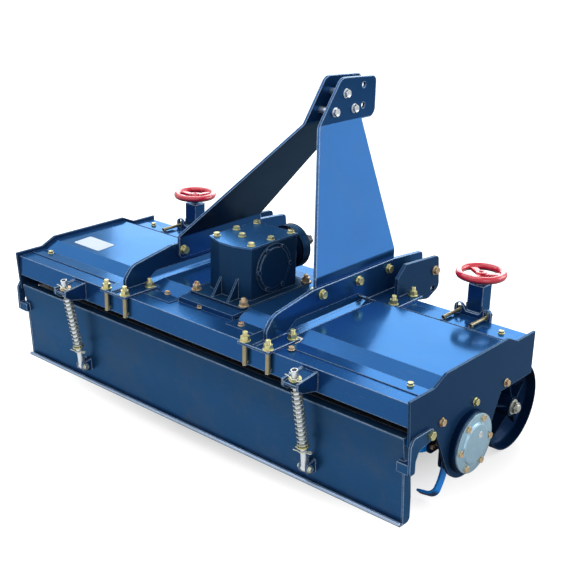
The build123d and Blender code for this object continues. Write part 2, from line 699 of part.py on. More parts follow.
def depth_clamp():
    """Two U-bolts that hold the bracket to the front beam, with washers and nuts in front."""
    y1 = front_y + bracket_t
    back = beam_pitch - clamp_r - clamp_gap
    low = deck - beam_height - clamp_r - clamp_gap
    high = deck + leg_clamp_rise
    tip = y1 + washer_t + nut_h + 8
    piece = None
    for x in (leg_x - leg_clamp_half, leg_x + leg_clamp_half):
        path = FilletPolyline((x, tip, high), (x, back, high), (x, back, low), (x, tip, low), radius=9.5)
        bar = sweep(Plane(origin=path @ 0, z_dir=path % 0) * Circle(clamp_r), path=path)
        for z in (low, high):
            bar += rod_y_axis(washer_r, y1, y1 + washer_t, x, z)
            bar += Pos(x, y1 + washer_t, z) * Rot(-90, 0, 0) * extrude(RegularPolygon(nut_r, 6), nut_h)
        piece = bar if piece is None else piece + bar
    return piece


def wheel_leg():
    """Square leg in the sleeve, with the wheel's axle, spacer, washer and nut."""
    x_half = sleeve_w / 2 - sleeve_wall - fit_gap
    y_half = sleeve_d / 2 - sleeve_wall - fit_gap
    leg = block(leg_x - x_half, leg_x + x_half, leg_y - y_half, leg_y + y_half, wheel_r - 34, deck - 15)
    y = leg_y + axle_ahead
    back = wheel_face - wheel_w
    leg += rod_x_axis(20, leg_x, back - fit_gap, y, wheel_r)
    leg += rod_x_axis(axle_r, leg_x, wheel_face + 14, y, wheel_r)
    leg += rod_x_axis(19, wheel_face + fit_gap, wheel_face + fit_gap + 3.7, y, wheel_r)
    leg += Pos(wheel_face + 4, y, wheel_r) * Rot(0, 90, 0) * extrude(RegularPolygon(15, 6), 10)
    return leg


def gauge_wheel():
    """Pressed dish with a rolled rim and a hub tube."""
    back = wheel_face - wheel_w
    bore = axle_r + shaft_gap
    section = outline([(back, bore), (wheel_face, bore), (wheel_face, 24), (back + 4, 24), (back + 4, wheel_r - 34, 20),
                       (back + 26, wheel_r - 4, 20), (wheel_face, wheel_r - 4), (wheel_face, wheel_r), (back + 23, wheel_r, 22), (back, wheel_r - 32, 24)])
    return Pos(0, leg_y + axle_ahead, wheel_r) * revolve(Plane.XZ * section, Axis.X)


def handwheel():
    """Rim on three flat spokes above the sleeve, its hub a little lower than the rim."""
    z = deck + handwheel_rise
    shape = Torus(handwheel_r - 8, 8)
    shape += Pos(0, 0, -4) * Cylinder(17, 20)
    for k in range(3):
        spoke = Rot(0, 3, 0) * block(10, handwheel_r - 7, -7.5, 7.5, -3.5, 3.5)
        shape += Rot(0, 0, 27 + 120 * k) * Pos(0, 0, -1) * spoke
    shape -= Pos(0, 0, 2) * Cylinder(4.5, 12)
    return Pos(leg_x, leg_y, z) * shape


both_sides("depth_bracket", depth_bracket())
both_sides("depth_clamp", depth_clamp())
both_sides("wheel_leg", wheel_leg())
both_sides("gauge_wheel", gauge_wheel())
both_sides("handwheel", handwheel())
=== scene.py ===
import json
from math import cos, pi, radians, sin

import bmesh
import bpy
from mathutils import Matrix, Vector


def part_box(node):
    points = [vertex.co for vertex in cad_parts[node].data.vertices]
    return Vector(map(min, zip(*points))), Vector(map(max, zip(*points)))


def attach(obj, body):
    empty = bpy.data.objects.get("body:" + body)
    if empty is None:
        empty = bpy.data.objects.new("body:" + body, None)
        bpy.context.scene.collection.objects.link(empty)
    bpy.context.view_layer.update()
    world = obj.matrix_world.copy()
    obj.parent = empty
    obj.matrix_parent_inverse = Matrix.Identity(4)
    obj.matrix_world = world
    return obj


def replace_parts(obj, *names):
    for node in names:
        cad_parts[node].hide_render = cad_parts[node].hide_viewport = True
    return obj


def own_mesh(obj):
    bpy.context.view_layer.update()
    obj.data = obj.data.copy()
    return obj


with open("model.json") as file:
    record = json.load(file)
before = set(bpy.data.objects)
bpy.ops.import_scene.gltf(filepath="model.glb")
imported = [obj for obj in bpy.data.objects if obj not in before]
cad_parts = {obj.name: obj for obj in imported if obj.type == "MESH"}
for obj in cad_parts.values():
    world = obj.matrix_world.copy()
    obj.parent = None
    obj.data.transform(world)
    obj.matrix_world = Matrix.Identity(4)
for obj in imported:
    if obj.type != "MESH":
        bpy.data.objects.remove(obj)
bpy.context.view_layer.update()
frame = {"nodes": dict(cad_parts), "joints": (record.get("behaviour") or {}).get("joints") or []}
nodes = frame["nodes"]
jointAt = {joint["name"]: Vector(joint["pos_m"]) for joint in frame["joints"] if "pos_m" in joint}

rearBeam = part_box("rear_beam")
deckZ = rearBeam[1][2]  # top of the two beams
rearY = rearBeam[0][1]  # rear face of the rear beam
print("frame loaded")


def at(x, y, rise):  # metres: right, ahead of the rear beam, above the beams
    return Vector((x, rearY + y, deckZ + rise))


def spotsAt(x, places):  # the same for several (y, rise) places on one upright plane
    return [at(x, y, rise) for y, rise in places]


# camera and lights
cameraView = {"spot": at(2.2058, -2.0834, 1.2442), "turn": 40.82, "down": 20.48, "roll": 1.23, "lens": 67.2,
              "sensor": 36, "far": 200}


def addCamera(view):
    bpy.ops.object.camera_add()
    camera = bpy.context.object
    turn = Matrix.Rotation(radians(view["turn"]), 4, "Z")
    tilt = Matrix.Rotation(radians(90 - view["down"]), 4, "X")
    roll = Matrix.Rotation(radians(view["roll"]), 4, "Z")
    camera.matrix_world = Matrix.Translation(view["spot"]) @ turn @ tilt @ roll
    camera.data.lens = view["lens"]
    camera.data.sensor_width = view["sensor"]
    camera.data.clip_end = view["far"]
    bpy.context.scene.camera = camera


addCamera(cameraView)

worldLevel = 0.5
softboxes = {
    "overhead": {"spot": (-0.6, -0.6, 3.6), "look": (0, 0, 0.3), "size": (3.2, 3.2), "watts": 45},
    "behind": {"spot": (-2.3, 4.0, 2.6), "look": (0, 0, 0.4), "size": (4.8, 3.0), "watts": 158},
    "behindRight": {"spot": (3.2, 4.0, 2.7), "look": (0, 0, 0.5), "size": (4.0, 3.0), "watts": 135},
    "leftHigh": {"spot": (-3.3, 0.0, 3.5), "look": (0, 0, 0.4), "size": (2.8, 2.8), "watts": 30},
    "cameraSide": {"spot": (3.4, -1.6, 2.1), "look": (0.2, 0, 0.4), "size": (1.8, 1.4), "watts": 18},
}


def addSoftbox(name, lamp):
    bpy.ops.object.light_add(type="AREA", location=lamp["spot"])
    light = bpy.context.object
    light.name = name
    light.data.shape = "RECTANGLE"
    light.data.size, light.data.size_y = lamp["size"]
    light.data.energy = lamp["watts"]
    aim = Vector(lamp["look"]) - Vector(lamp["spot"])
    light.rotation_euler = aim.to_track_quat("-Z", "Y").to_euler()


for lampName, lamp in softboxes.items():
    addSoftbox(lampName, lamp)

scene = bpy.context.scene
scene.view_settings.view_transform = "Standard"
scene.world = bpy.data.worlds.new("studio")
scene.world.use_nodes = True
print("camera and lights set")


class Wire:  # a socket that can be added, multiplied and so on
    def __init__(self, finish, socket):
        self.finish, self.socket = finish, socket

    def __add__(self, other):
        return self.finish.sum("ADD", self, other)

    def __sub__(self, other):
        return self.finish.sum("SUBTRACT", self, other)

    def __rsub__(self, other):
        return self.finish.sum("SUBTRACT", other, self)

    def __mul__(self, other):
        return self.finish.sum("MULTIPLY", self, other)

    def __pow__(self, other):
        return self.finish.sum("POWER", self, other)

    __radd__, __rmul__ = __add__, __mul__


class Finish:  # one procedural material
    def __init__(self, name):
        self.material = bpy.data.materials.new(name)
        self.material.use_nodes = True
        self.tree = self.material.node_tree
        self.tree.nodes.clear()
        self.place = self.node("ShaderNodeTexCoord", out="Object")

    def node(self, kind, settings=None, sockets=None, out=0):
        made = self.tree.nodes.new(kind)
        for key, value in (settings or {}).items():
            if key == "stops":
                ramp = made.color_ramp.elements
                for k, (position, level) in enumerate(value):
                    stop = ramp[k] if k < 2 else ramp.new(position)
                    stop.position, stop.color = position, (level, level, level, 1)
            else:
                setattr(made, key, value)
        for key, value in (sockets or {}).items():
            if isinstance(value, Wire):
                self.tree.links.new(value.socket, made.inputs[key])
            else:
                made.inputs[key].default_value = value
        return Wire(self, made.outputs[out])

    def part(self, axis):  # one coordinate of the place on the piece
        return self.node("ShaderNodeSeparateXYZ", None, {0: self.place}, out="XYZ".index(axis))

    def sum(self, operation, first, second):
        return self.node("ShaderNodeMath", {"operation": operation}, {0: first, 1: second})

    def size(self, value):  # the value without its sign
        return self.node("ShaderNodeMath", {"operation": "ABSOLUTE"}, {0: value})

    def noise(self, scale, detail=3, roughness=0.55, stretch=None):
        place = self.place
        if stretch:
            place = self.node("ShaderNodeMapping", None, {"Vector": place, "Scale": stretch})
        return self.node("ShaderNodeTexNoise", None,
                         {"Vector": place, "Scale": scale, "Detail": detail, "Roughness": roughness})

    def ramp(self, value, *stops):
        return self.node("ShaderNodeValToRGB", {"stops": stops}, {"Fac": value})

    def mix(self, share, first, second):
        first, second = [c if isinstance(c, Wire) else (*c, 1) for c in (first, second)]
        return self.node("ShaderNodeMix", {"data_type": "RGBA"}, {0: share, 6: first, 7: second}, out=2)

    def bump(self, height, strength, distance, normal=None):
        sockets = {"Height": height, "Strength": strength, "Distance": distance}
        if normal:
            sockets["Normal"] = normal
        return self.node("ShaderNodeBump", None, sockets)

    def roundedNormal(self, width):  # normal as if every edge had a small radius
        return self.node("ShaderNodeBevel", {"samples": 6}, {"Radius": width})

    def edges(self, rounded):  # 0 on flats, rising on sharp edges
        flat = self.node("ShaderNodeNewGeometry", out="Normal")
        agree = self.node("ShaderNodeVectorMath", {"operation": "DOT_PRODUCT"}, {0: rounded, 1: flat}, out="Value")
        return self.ramp(1 - agree, (0.004, 0), (0.09, 1))

    def underside(self):  # 1 on surfaces that face the ground: the mask of the painted shade on undersides
        normal = self.node("ShaderNodeNewGeometry", out="Normal")
        rise = self.node("ShaderNodeSeparateXYZ", None, {0: normal}, out=2)
        return self.ramp(rise * 0.5 + 0.5, (0.30, 1), (0.46, 0))

    def close(self, sockets):
        shader = self.node("ShaderNodeBsdfPrincipled", None, sockets)
        end = self.tree.nodes.new("ShaderNodeOutputMaterial")
        self.tree.links.new(shader.socket, end.inputs["Surface"])
        return self.material


# floor and world: white to the camera, with the object's shadow left on the floor and a soft painted shadow patch
# round the machine
white = (1, 1, 1, 1)
# deep is the floor's glow inside the painted shadow patch; backGlow and frontGlow are the floor's painted reflection
# glow
floorLook = {"halfWidth": 1.02, "halfDepth": 0.66, "ahead": 0.14, "power": 2.4, "from": 0.52, "to": 1.12,
             "deep": 0.30, "frontGlow": 0.15, "backGlow": 0.8, "base": (0.42, 0.42, 0.42, 1), "wide": 120}


def floorFinish(look):
    floor = Finish("paleFloor")
    grain = floor.noise(3, 2)
    seen = floor.node("ShaderNodeLightPath", out="Is Camera Ray")
    reflected = floor.node("ShaderNodeLightPath", out="Is Glossy Ray")
    # painted reflection: to glossy rays the floor glows, at backGlow behind the machine and frontGlow ahead of it
    behind = floor.ramp(floor.part("Y") * 0.5 + 0.5, (0.22, look["backGlow"]), (0.42, look["frontGlow"]))
    glow = reflected * behind
    # painted shadow: in a rounded patch round the machine the floor's white glow fades down to deep
    across = floor.size(floor.part("X")) * (1 / look["halfWidth"])
    along = floor.size(floor.part("Y") - look["ahead"]) * (1 / look["halfDepth"])
    outside = (across ** look["power"] + along ** look["power"]) ** (1 / look["power"])
    clear = floor.ramp(outside, (look["from"], look["deep"]), (look["to"], 1))
    return floor.close({"Base Color": look["base"], "Roughness": 0.9 + 0.05 * grain,
                        "Emission Color": floor.mix(seen * clear, glow, (1, 1, 1)),
                        "Emission Strength": 1, "Specular IOR Level": 0})


# painted finishes: what plainPaint says holds wherever a finish doesn't say otherwise
# painted highlight: the pale line that sharp edges catch, laid into the paint's colour at edges
paintedEdgeHighlight = (0.50, 0.66, 0.86)
plainPaint = {"colours": ((0.012, 0.066, 0.200), (0.016, 0.082, 0.240)), "metal": 0.55, "rough": 0.14, "coat": 0.04,
              "sheenTint": (0.5, 0.75, 1.0), "mirror": 0.03, "edge": 0.0028, "wearAndHighlight": 0.95, "soil": 0.85,
              "edgeColour": (0.30, 0.42, 0.56), "dust": 0.08, "dustColour": (0.06, 0.10, 0.15), "scratch": 0.12,
              "scratchColour": (0.3, 0.36, 0.44), "underShadeColour": (0.007, 0.012, 0.022), "patchScale": 7,
              "peel": 0.05, "wave": 0.06, "waveScale": 6}
paintLooks = {
    "hoodPaint": {"colours": ((0.014, 0.075, 0.220), (0.019, 0.093, 0.265)), "rough": 0.09, "wave": 0.10,
                  "waveScale": 5, "dust": 0.1},
    "platePaint": {"colours": ((0.011, 0.056, 0.165), (0.015, 0.070, 0.200)), "edge": 0.0055,
                   "edgeColour": paintedEdgeHighlight},
    # painted shade: the same blue paint made darker for the end plates and hitch ears, whose sideways faces lie in
    # shade
    "sidePaint": {"colours": ((0.009, 0.038, 0.105), (0.014, 0.049, 0.125)), "metal": 0.35, "rough": 0.3,
                  "edgeColour": (0.2, 0.34, 0.52)},
    "seatPaint": {"colours": ((0.011, 0.064, 0.19), (0.015, 0.080, 0.23)), "metal": 0.4},
    "beamPaint": {"colours": ((0.015, 0.079, 0.235), (0.019, 0.097, 0.280)), "rough": 0.2, "edge": 0.0042,
                  "edgeColour": paintedEdgeHighlight},
    "gatePaint": {"colours": ((0.015, 0.068, 0.172), (0.020, 0.084, 0.212)), "rough": 0.26, "wave": 0.12,
                  "waveScale": 3.5, "dust": 0.35, "dustColour": (0.09, 0.13, 0.19), "edge": 0.0042,
                  "edgeColour": paintedEdgeHighlight},
    # painted highlight: the gate's paint made pale, standing for the bright line along the hem's rounded crown
    "hemPaint": {"colours": ((0.32, 0.44, 0.62), (0.46, 0.58, 0.76)), "rough": 0.2, "patchScale": 16,
                 "dust": 0.2, "soil": 1.0},
    "castPaint": {"colours": ((0.007, 0.036, 0.095), (0.012, 0.05, 0.125)), "rough": 0.34, "metal": 0.45,
                  "peel": 0.5, "wave": 0.0, "edge": 0.003, "edgeColour": (0.34, 0.46, 0.62), "wearAndHighlight": 0.85,
                  "scratch": 0.0},
    "coverPaint": {"colours": ((0.026, 0.112, 0.30), (0.034, 0.142, 0.37)), "rough": 0.2, "peel": 0.3},
    "wheelPaint": {"colours": ((0.001, 0.010, 0.040), (0.002, 0.020, 0.070)), "rough": 0.3, "metal": 0.3,
                   "dust": 0.1, "edgeColour": (0.02, 0.05, 0.11)},
    # painted shade: black for the sheet that darkens the slot under the rear beam
    "blackPaint": {"colours": ((0.012, 0.013, 0.015), (0.03, 0.03, 0.033)), "sheenTint": (1, 1, 1),
                   "mirror": 0.5, "metal": 0.1, "rough": 0.35, "wearAndHighlight": 0.4},
    "tineBlue": {"colours": ((0.0, 0.25, 0.92), (0.0, 0.31, 1.0)), "metal": 0.0, "sheenTint": (1, 1, 1),
                 "mirror": 0.2, "rough": 0.35, "coat": 0.05, "edgeColour": (0.05, 0.4, 0.9), "dust": 0.04},
    "handwheelRed": {"colours": ((0.58, 0.006, 0.03), (0.72, 0.012, 0.05)), "sheenTint": (1, 1, 1),
                     "mirror": 0.5, "metal": 0.0, "coat": 0.5, "wearAndHighlight": 0.3, "edgeColour": (0.7, 0.25, 0.25),
                     "peel": 0.02, "wave": 0.0},
}


paintGrain = {"speckle": 240, "chips": 75, "dust": 9, "scratch": 14, "streak": (1.2, 34, 34)}


def paintFinish(name, look):  # sprayed gloss paint over sheet or plate
    paint = Finish(name)
    rounded = paint.roundedNormal(look["edge"])
    patches = paint.noise(look["patchScale"], 3, 0.6)
    speckle = paint.noise(paintGrain["speckle"], 2, 0.6)
    chips = paint.ramp(paint.noise(paintGrain["chips"], 4, 0.7), (0.42, 0), (0.58, 1))
    # painted highlight and wear: edges take edgeColour, partly chipped paint and partly the bright line they catch
    wearAndHighlight = paint.edges(rounded) * (0.6 + 0.4 * chips) * look["wearAndHighlight"]
    # painted shade: surfaces that face the ground are darkened towards underShadeColour, a near-black navy
    soil = paint.underside() * look["soil"]
    dust = paint.ramp(paint.noise(paintGrain["dust"], 5, 0.62), (0.46, 0), (0.78, 1)) * look["dust"]
    streaks = paint.noise(paintGrain["scratch"], 3, 0.5, paintGrain["streak"])
    scratch = paint.ramp(streaks, (0.685, 0), (0.7, 1)) * look["scratch"]
    colour = paint.mix(patches, *look["colours"])
    for share, layer in ((dust, "dustColour"), (scratch, "scratchColour"), (wearAndHighlight, "edgeColour"),
                         (soil, "underShadeColour")):
        colour = paint.mix(share, colour, look[layer])
    rough = look["rough"] + 0.10 * patches + 0.35 * dust + 0.2 * scratch + 0.3 * soil
    peel = paint.bump(speckle, look["peel"], 0.0006, rounded)
    waves = paint.bump(paint.noise(look["waveScale"], 1, 0.4), look["wave"], 0.02, peel)
    return paint.close({"Base Color": colour, "Metallic": look["metal"] - 0.5 * wearAndHighlight - 0.4 * dust,
                        "Roughness": rough, "Coat Weight": look["coat"] - 0.6 * dust * look["coat"],
                        "Coat Roughness": 0.05, "Specular Tint": (*look["sheenTint"], 1),
                        "Specular IOR Level": look["mirror"], "Normal": waves})


finishes = {name: paintFinish(name, {**plainPaint, **look}) for name, look in paintLooks.items()}

# plated steel: clean colour, its clouds, its dull spots, roughness, where rust starts, metal
zincLooks = {
    "yellowZinc": ((0.46, 0.41, 0.15), (0.68, 0.66, 0.36), (0.26, 0.22, 0.09), 0.26, 0.72, 0.85),
    "oliveZinc": ((0.22, 0.19, 0.11), (0.38, 0.35, 0.22), (0.14, 0.11, 0.07), 0.34, 0.66, 0.8),
    "silverZinc": ((0.58, 0.63, 0.66), (0.74, 0.78, 0.80), (0.38, 0.40, 0.40), 0.24, 0.80, 0.85),
    "paleZinc": ((0.54, 0.57, 0.46), (0.72, 0.75, 0.66), (0.42, 0.38, 0.27), 0.26, 0.76, 0.82),
    "springSteel": ((0.34, 0.36, 0.33), (0.50, 0.53, 0.49), (0.26, 0.25, 0.20), 0.3, 0.72, 0.8),
    "rustyZinc": ((0.55, 0.40, 0.22), (0.68, 0.55, 0.36), (0.32, 0.20, 0.10), 0.36, 0.54, 0.75),
    "capMetal": ((0.30, 0.50, 0.64), (0.46, 0.68, 0.82), (0.30, 0.37, 0.44), 0.24, 0.83, 0.85),
    "darkSteel": ((0.035, 0.04, 0.05), (0.08, 0.085, 0.1), (0.06, 0.05, 0.045), 0.36, 0.66, 0.9),
}
zincGrain = {"cloud": 45, "spots": 160, "rust": 55, "fine": 420, "edge": 0.0008}
rimColour = (0.85, 0.84, 0.78)  # where the plating is rubbed bright
rustColours = ((0.24, 0.075, 0.02), (0.36, 0.15, 0.05))


def zincFinish(name, clean, cloudy, dull, rough, rustFrom, metal):
    zinc = Finish(name)
    rounded = zinc.roundedNormal(zincGrain["edge"])
    cloud = zinc.noise(zincGrain["cloud"], 3, 0.6)
    spots = zinc.ramp(zinc.noise(zincGrain["spots"], 4, 0.7), (0.56, 0), (0.66, 1))
    rust = zinc.ramp(zinc.noise(zincGrain["rust"], 5, 0.65), (rustFrom, 0), (rustFrom + 0.1, 1))
    colour = zinc.mix(spots * 0.4, zinc.mix(cloud, clean, cloudy), dull)
    colour = zinc.mix(zinc.edges(rounded) * 0.5, colour, rimColour)
    colour = zinc.mix(rust, colour, zinc.mix(spots, *rustColours))
    return zinc.close({"Base Color": colour, "Metallic": metal - 0.75 * rust,
                       "Roughness": rough + 0.16 * cloud + 0.35 * rust,
                       "Normal": zinc.bump(zinc.noise(zincGrain["fine"], 2), 0.12, 0.0004, rounded)})


for name, look in zincLooks.items():
    finishes[name] = zincFinish(name, *look)

# a node's name that ends in _ stands for the left one and the right one
nodeFinish = {
    "hoodPaint": "hood_ hood_centre",
    "platePaint": "rail_ mast_plate_ spring_bracket_ depth_bracket_",
    "sidePaint": "end_plate_ hitch_ear_",
    "seatPaint": "gearbox_seat",
    "coverPaint": "gearbox_cover",
    "beamPaint": "rear_beam front_beam",
    "gatePaint": "tailgate",
    "castPaint": "gearbox_housing gearbox_cap_ gearcase",
    # bearing_ takes the near-black paint as painted shade: the bearing ring sits shadowed behind its cap
    "wheelPaint": "gauge_wheel_ wheel_leg_ rotor_ bearing_",
    "tineBlue": "tines_",
    "handwheelRed": "handwheel_",
    "capMetal": "bearing_cap_",
    "paleZinc": "spring_ rear_clamp_ front_clamp_",
    "oliveZinc": "depth_clamp_",
    "silverZinc": "mast_spacers spring_rod_",
    "darkSteel": "pto_shaft",
}
for finishName, names in nodeFinish.items():
    for name in names.split():
        for ending in (("left", "right") if name.endswith("_") else ("",)):
            for slot in nodes[name + ending].material_slots:
                slot.material = finishes[finishName]
print("finishes given to the frame's own parts")


def clearSelection():
    if bpy.context.object and bpy.context.object.mode != "OBJECT":
        bpy.ops.object.mode_set(mode="OBJECT")
    bpy.ops.object.select_all(action="DESELECT")


def addFloor(look):
    clearSelection()
    bpy.ops.mesh.primitive_plane_add(size=look["wide"], location=(0, 0, 0))
    floor = bpy.context.object
    floor.name = "floor"
    floor.data.materials.append(floorFinish(look))


def whiteWorld(world, level):  # full white where it is seen or mirrored, dimmer as a light
    tree = world.node_tree
    path = tree.nodes.new("ShaderNodeLightPath")
    dim = tree.nodes["Background"]
    dim.inputs["Color"].default_value = white
    dim.inputs["Strength"].default_value = level
    bright = tree.nodes.new("ShaderNodeBackground")
    bright.inputs["Color"].default_value = white
    shown = tree.nodes.new("ShaderNodeMixShader")
    total = path.outputs["Is Camera Ray"]
    for ray in ("Is Glossy Ray", "Is Transmission Ray"):
        both = tree.nodes.new("ShaderNodeMath")
        both.operation = "MAXIMUM"
        tree.links.new(total, both.inputs[0])
        tree.links.new(path.outputs[ray], both.inputs[1])
        total = both.outputs[0]
    for source, socket in ((total, 0), (dim.outputs[0], 1), (bright.outputs[0], 2)):
        tree.links.new(source, shown.inputs[socket])
    tree.links.new(shown.outputs[0], tree.nodes["World Output"].inputs["Surface"])


addFloor(floorLook)
whiteWorld(scene.world, worldLevel)


# modelling helpers: a mesh is opened, shaped and closed again
def applyPlace():
    bpy.ops.object.transform_apply(location=True, rotation=True, scale=True)


def openMesh(piece, mode="FACE", action="SELECT"):
    clearSelection()
    piece.select_set(True)
    bpy.context.view_layer.objects.active = piece
    bpy.ops.object.mode_set(mode="EDIT")
    bpy.ops.mesh.select_mode(type=mode)
    bpy.ops.mesh.select_all(action=action)
    return piece


def choose(piece, kind, test):  # opens the mesh with the faces, edges or verts selected that pass the test
    openMesh(piece, {"faces": "FACE", "edges": "EDGE", "verts": "VERT"}[kind], "DESELECT")
    mesh = bmesh.from_edit_mesh(piece.data)
    for item in getattr(mesh, kind):
        if test(item):
            item.select_set(True)
    bmesh.update_edit_mesh(piece.data)


def chooseTop(piece):
    choose(piece, "faces", lambda face: face.normal.z > 0.9)


def chooseEnds(piece):
    choose(piece, "faces", lambda face: abs(face.normal.z) > 0.9)


def bevelRims(piece, radius, slack, offset, segments):  # the two outer rims of a turned piece
    choose(piece, "edges", lambda e: all(abs(Vector(v.co[:2]).length - radius) < slack for v in e.verts)
           and abs(e.verts[0].co.z - e.verts[1].co.z) < 1e-6)
    bpy.ops.mesh.bevel(offset=offset, segments=segments)


def insetStep(narrow, rise=0):  # insets the selected faces, then raises or sinks them
    bpy.ops.mesh.inset(thickness=narrow)
    if rise:
        bpy.ops.transform.translate(value=(0, 0, rise))


def extrude(way):
    bpy.ops.mesh.extrude_region_move(TRANSFORM_OT_translate={"value": tuple(way)})


def extrudeRing(length, grow):  # one ring further along Z, wider or narrower
    extrude((0, 0, length))
    bpy.ops.transform.resize(value=(grow, grow, 1))


def faceOut(merge=False):  # closes the seams if asked, and turns every face outward
    bpy.ops.mesh.select_all(action="SELECT")
    if merge:
        bpy.ops.mesh.remove_doubles(threshold=0.00002)
    bpy.ops.mesh.normals_make_consistent(inside=False)


def closeMesh(piece, angle=32):
    bpy.ops.object.mode_set(mode="OBJECT")
    clearSelection()
    piece.select_set(True)
    bpy.context.view_layer.objects.active = piece
    applyPlace()
    bpy.ops.object.shade_smooth_by_angle(angle=radians(angle))
    return piece


def drum(radius, height, around=24, cone=None):  # a round blank standing on the origin
    clearSelection()
    bpy.ops.mesh.primitive_cone_add(vertices=around, radius1=radius, radius2=radius if cone is None else cone,
                                    depth=height, location=(0, 0, height / 2))
    applyPlace()
    return bpy.context.object


def disc(radius, around):  # a flat round face at the origin, open
    clearSelection()
    bpy.ops.mesh.primitive_circle_add(vertices=around, radius=radius, fill_type="NGON")
    return openMesh(bpy.context.object)


def oblong(wide, deep, spot):  # a flat face at the spot, open
    clearSelection()
    bpy.ops.mesh.primitive_plane_add(size=1, location=spot)
    bpy.context.object.scale = (wide, deep, 1)
    applyPlace()
    return openMesh(bpy.context.object)


def fourCornered(corners, mode="FACE"):  # a flat face, its corners given row by row, open
    clearSelection()
    bpy.ops.mesh.primitive_plane_add(size=1)
    piece = bpy.context.object
    for vertex, corner in zip(sorted(piece.data.vertices, key=lambda v: (v.co.y, v.co.x)), corners):
        vertex.co = corner
    return openMesh(piece, mode)


def aside(blank):  # takes a blank out of the scene, since only its copies are shown
    blank.users_collection[0].objects.unlink(blank)
    return blank


rightward, leftward, forward, upward = (1, 0, 0), (-1, 0, 0), (0, 1, 0), (0, 0, 1)


def facing(spot, axis=upward, turn=0):  # place of a part whose Z looks along the axis
    aim = Vector(axis).to_track_quat("Z", "Y").to_matrix().to_4x4()
    return Matrix.Translation(spot) @ aim @ Matrix.Rotation(radians(turn), 4, "Z")


def onCircle(centre, radius, angle, lift=0):  # spot round an axis along X, lifted along it
    return centre + Vector((lift, radius * cos(angle), radius * sin(angle)))


mirrored = Matrix.Scale(-1, 4, rightward)
sides = (("right", Matrix.Identity(4)), ("left", mirrored))


def moved(stack, place):
    return [(part, place @ own) for part, own in stack]


def bothSides(stack):
    return stack + moved(stack, mirrored)


def settle(piece, name, finish, body):
    piece.name = piece.data.name = name
    piece.data.materials.clear()
    piece.data.materials.append(finishes[finish])
    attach(piece, body)
    return piece


# copies are (stock part, place) pairs, joined into one piece; most are yellow hardware on the frame
def repeat(copies, name, finish="yellowZinc", body="frame"):
    clearSelection()
    for part, place in copies:
        copy = part.copy()
        copy.data = part.data.copy()
        copy.data.transform(place)
        if place.determinant() < 0:
            copy.data.flip_normals()
        scene.collection.objects.link(copy)
        copy.select_set(True)
    bpy.context.view_layer.objects.active = copy
    bpy.ops.object.join()
    return settle(copy, name, finish, body)


# nuts, bolts, washers and rod ends, modelled once and copied
hexSizes = {  # corner radius, height, crown of the head
    "nut": (0.01385, 0.014, 0), "boltM16": (0.0138, 0.010, 0.0007), "boltM12": (0.0108, 0.0078, 0.0006),
    "boltM10": (0.0090, 0.0068, 0.0005), "boltM8": (0.0072, 0.0055, 0.0004), "axleNut": (0.0205, 0.0120, 0.0006),
}
ringSizes = {  # outer radius, bore radius, height
    "washer": (0.0165, 0.0080, 0.003), "washerM12": (0.0128, 0.0055, 0.0024), "washerM16": (0.0162, 0.0075, 0.003),
    "washerM10": (0.0104, 0.0045, 0.002), "lowWasher": (0.0194, 0.0107, 0.0044),
    "topWasher": (0.0184, 0.0107, 0.0056), "axleWasher": (0.0250, 0.0120, 0.0041),
    "clevisWasher": (0.0125, 0.0055, 0.0022),
}
threadSizes = {  # radius, length, pitch, facets around
    "stud": (0.0080, 0.013, 0.0025, 14), "slimStud": (0.0060, 0.0115, 0.00175, 14),
    "axleEnd": (0.0125, 0.010, 0.0025, 20),
}


hexShape = {"turnedOff": 0.16, "rim": 0.05, "dishRim": 0.25, "dish": 1.6}
ringShape = {"chamfer": 0.0006, "chamferShare": 0.3, "rim": 0.0005, "rimShare": 0.25}
threadShape = {"root": 0.9, "endRun": 0.6, "endNarrow": 0.8}


def makeHex(corner, height, crown):  # hexagon with its corners turned off at both ends
    piece = drum(corner, height, 6)
    choose(piece, "verts", lambda v: True)
    bpy.ops.mesh.bevel(offset=corner * hexShape["turnedOff"], affect="VERTICES", segments=1)
    chooseTop(piece)
    insetStep(corner * hexShape["rim"], crown)
    if crown:
        insetStep(corner * hexShape["dishRim"], -crown * hexShape["dish"])
    return closeMesh(piece)


def makeRing(outer, inner, height, around=28):  # a drum whose two ends are bridged into a bore
    piece = drum(outer, height, around)
    chooseEnds(piece)
    insetStep(min(ringShape["chamfer"], height * ringShape["chamferShare"]))
    insetStep(outer - inner)
    bpy.ops.mesh.bridge_edge_loops()
    bevelRims(piece, outer, 1e-5, min(ringShape["rim"], height * ringShape["rimShare"]), 1)
    return closeMesh(piece)


def makeThread(radius, length, pitch, around):  # rod end, ring after ring from root to crest
    piece = disc(radius, around)
    for k in range(int(2 * length / pitch)):
        extrudeRing(pitch / 2, threadShape["root"] if k % 2 == 0 else 1 / threadShape["root"])
    extrudeRing(pitch * threadShape["endRun"], threadShape["endNarrow"])
    faceOut()
    return closeMesh(piece, 25)


stock = {}
for maker, sizes in ((makeHex, hexSizes), (makeRing, ringSizes), (makeThread, threadSizes)):
    for name, size in sizes.items():
        stock[name] = aside(maker(*size))
print("hardware in stock")


def seated(kind, washer, spot, axis=upward, turn=0):  # a bolt or nut, on a washer if one is named
    stack, lift = [], 0
    if washer:
        stack.append((stock[washer], facing(spot, axis)))
        lift = ringSizes[washer][2]
    stack.append((stock[kind], facing(Vector(spot) + lift * Vector(axis), axis, turn)))
    return stack


def boltRow(kind, washer, spots, axis=upward, turn=0, step=0):  # each bolt is turned a little further
    return [pair for k, spot in enumerate(spots) for pair in seated(kind, washer, spot, axis, turn + step * k)]


# U-bolts that clamp the rails and ears to the beams, with their nuts on the feet
clampFit = {"rod": 0.0080, "edge": 0.0165, "foot": 0.008, "bend": 0.010, "studLift": 0.0165}


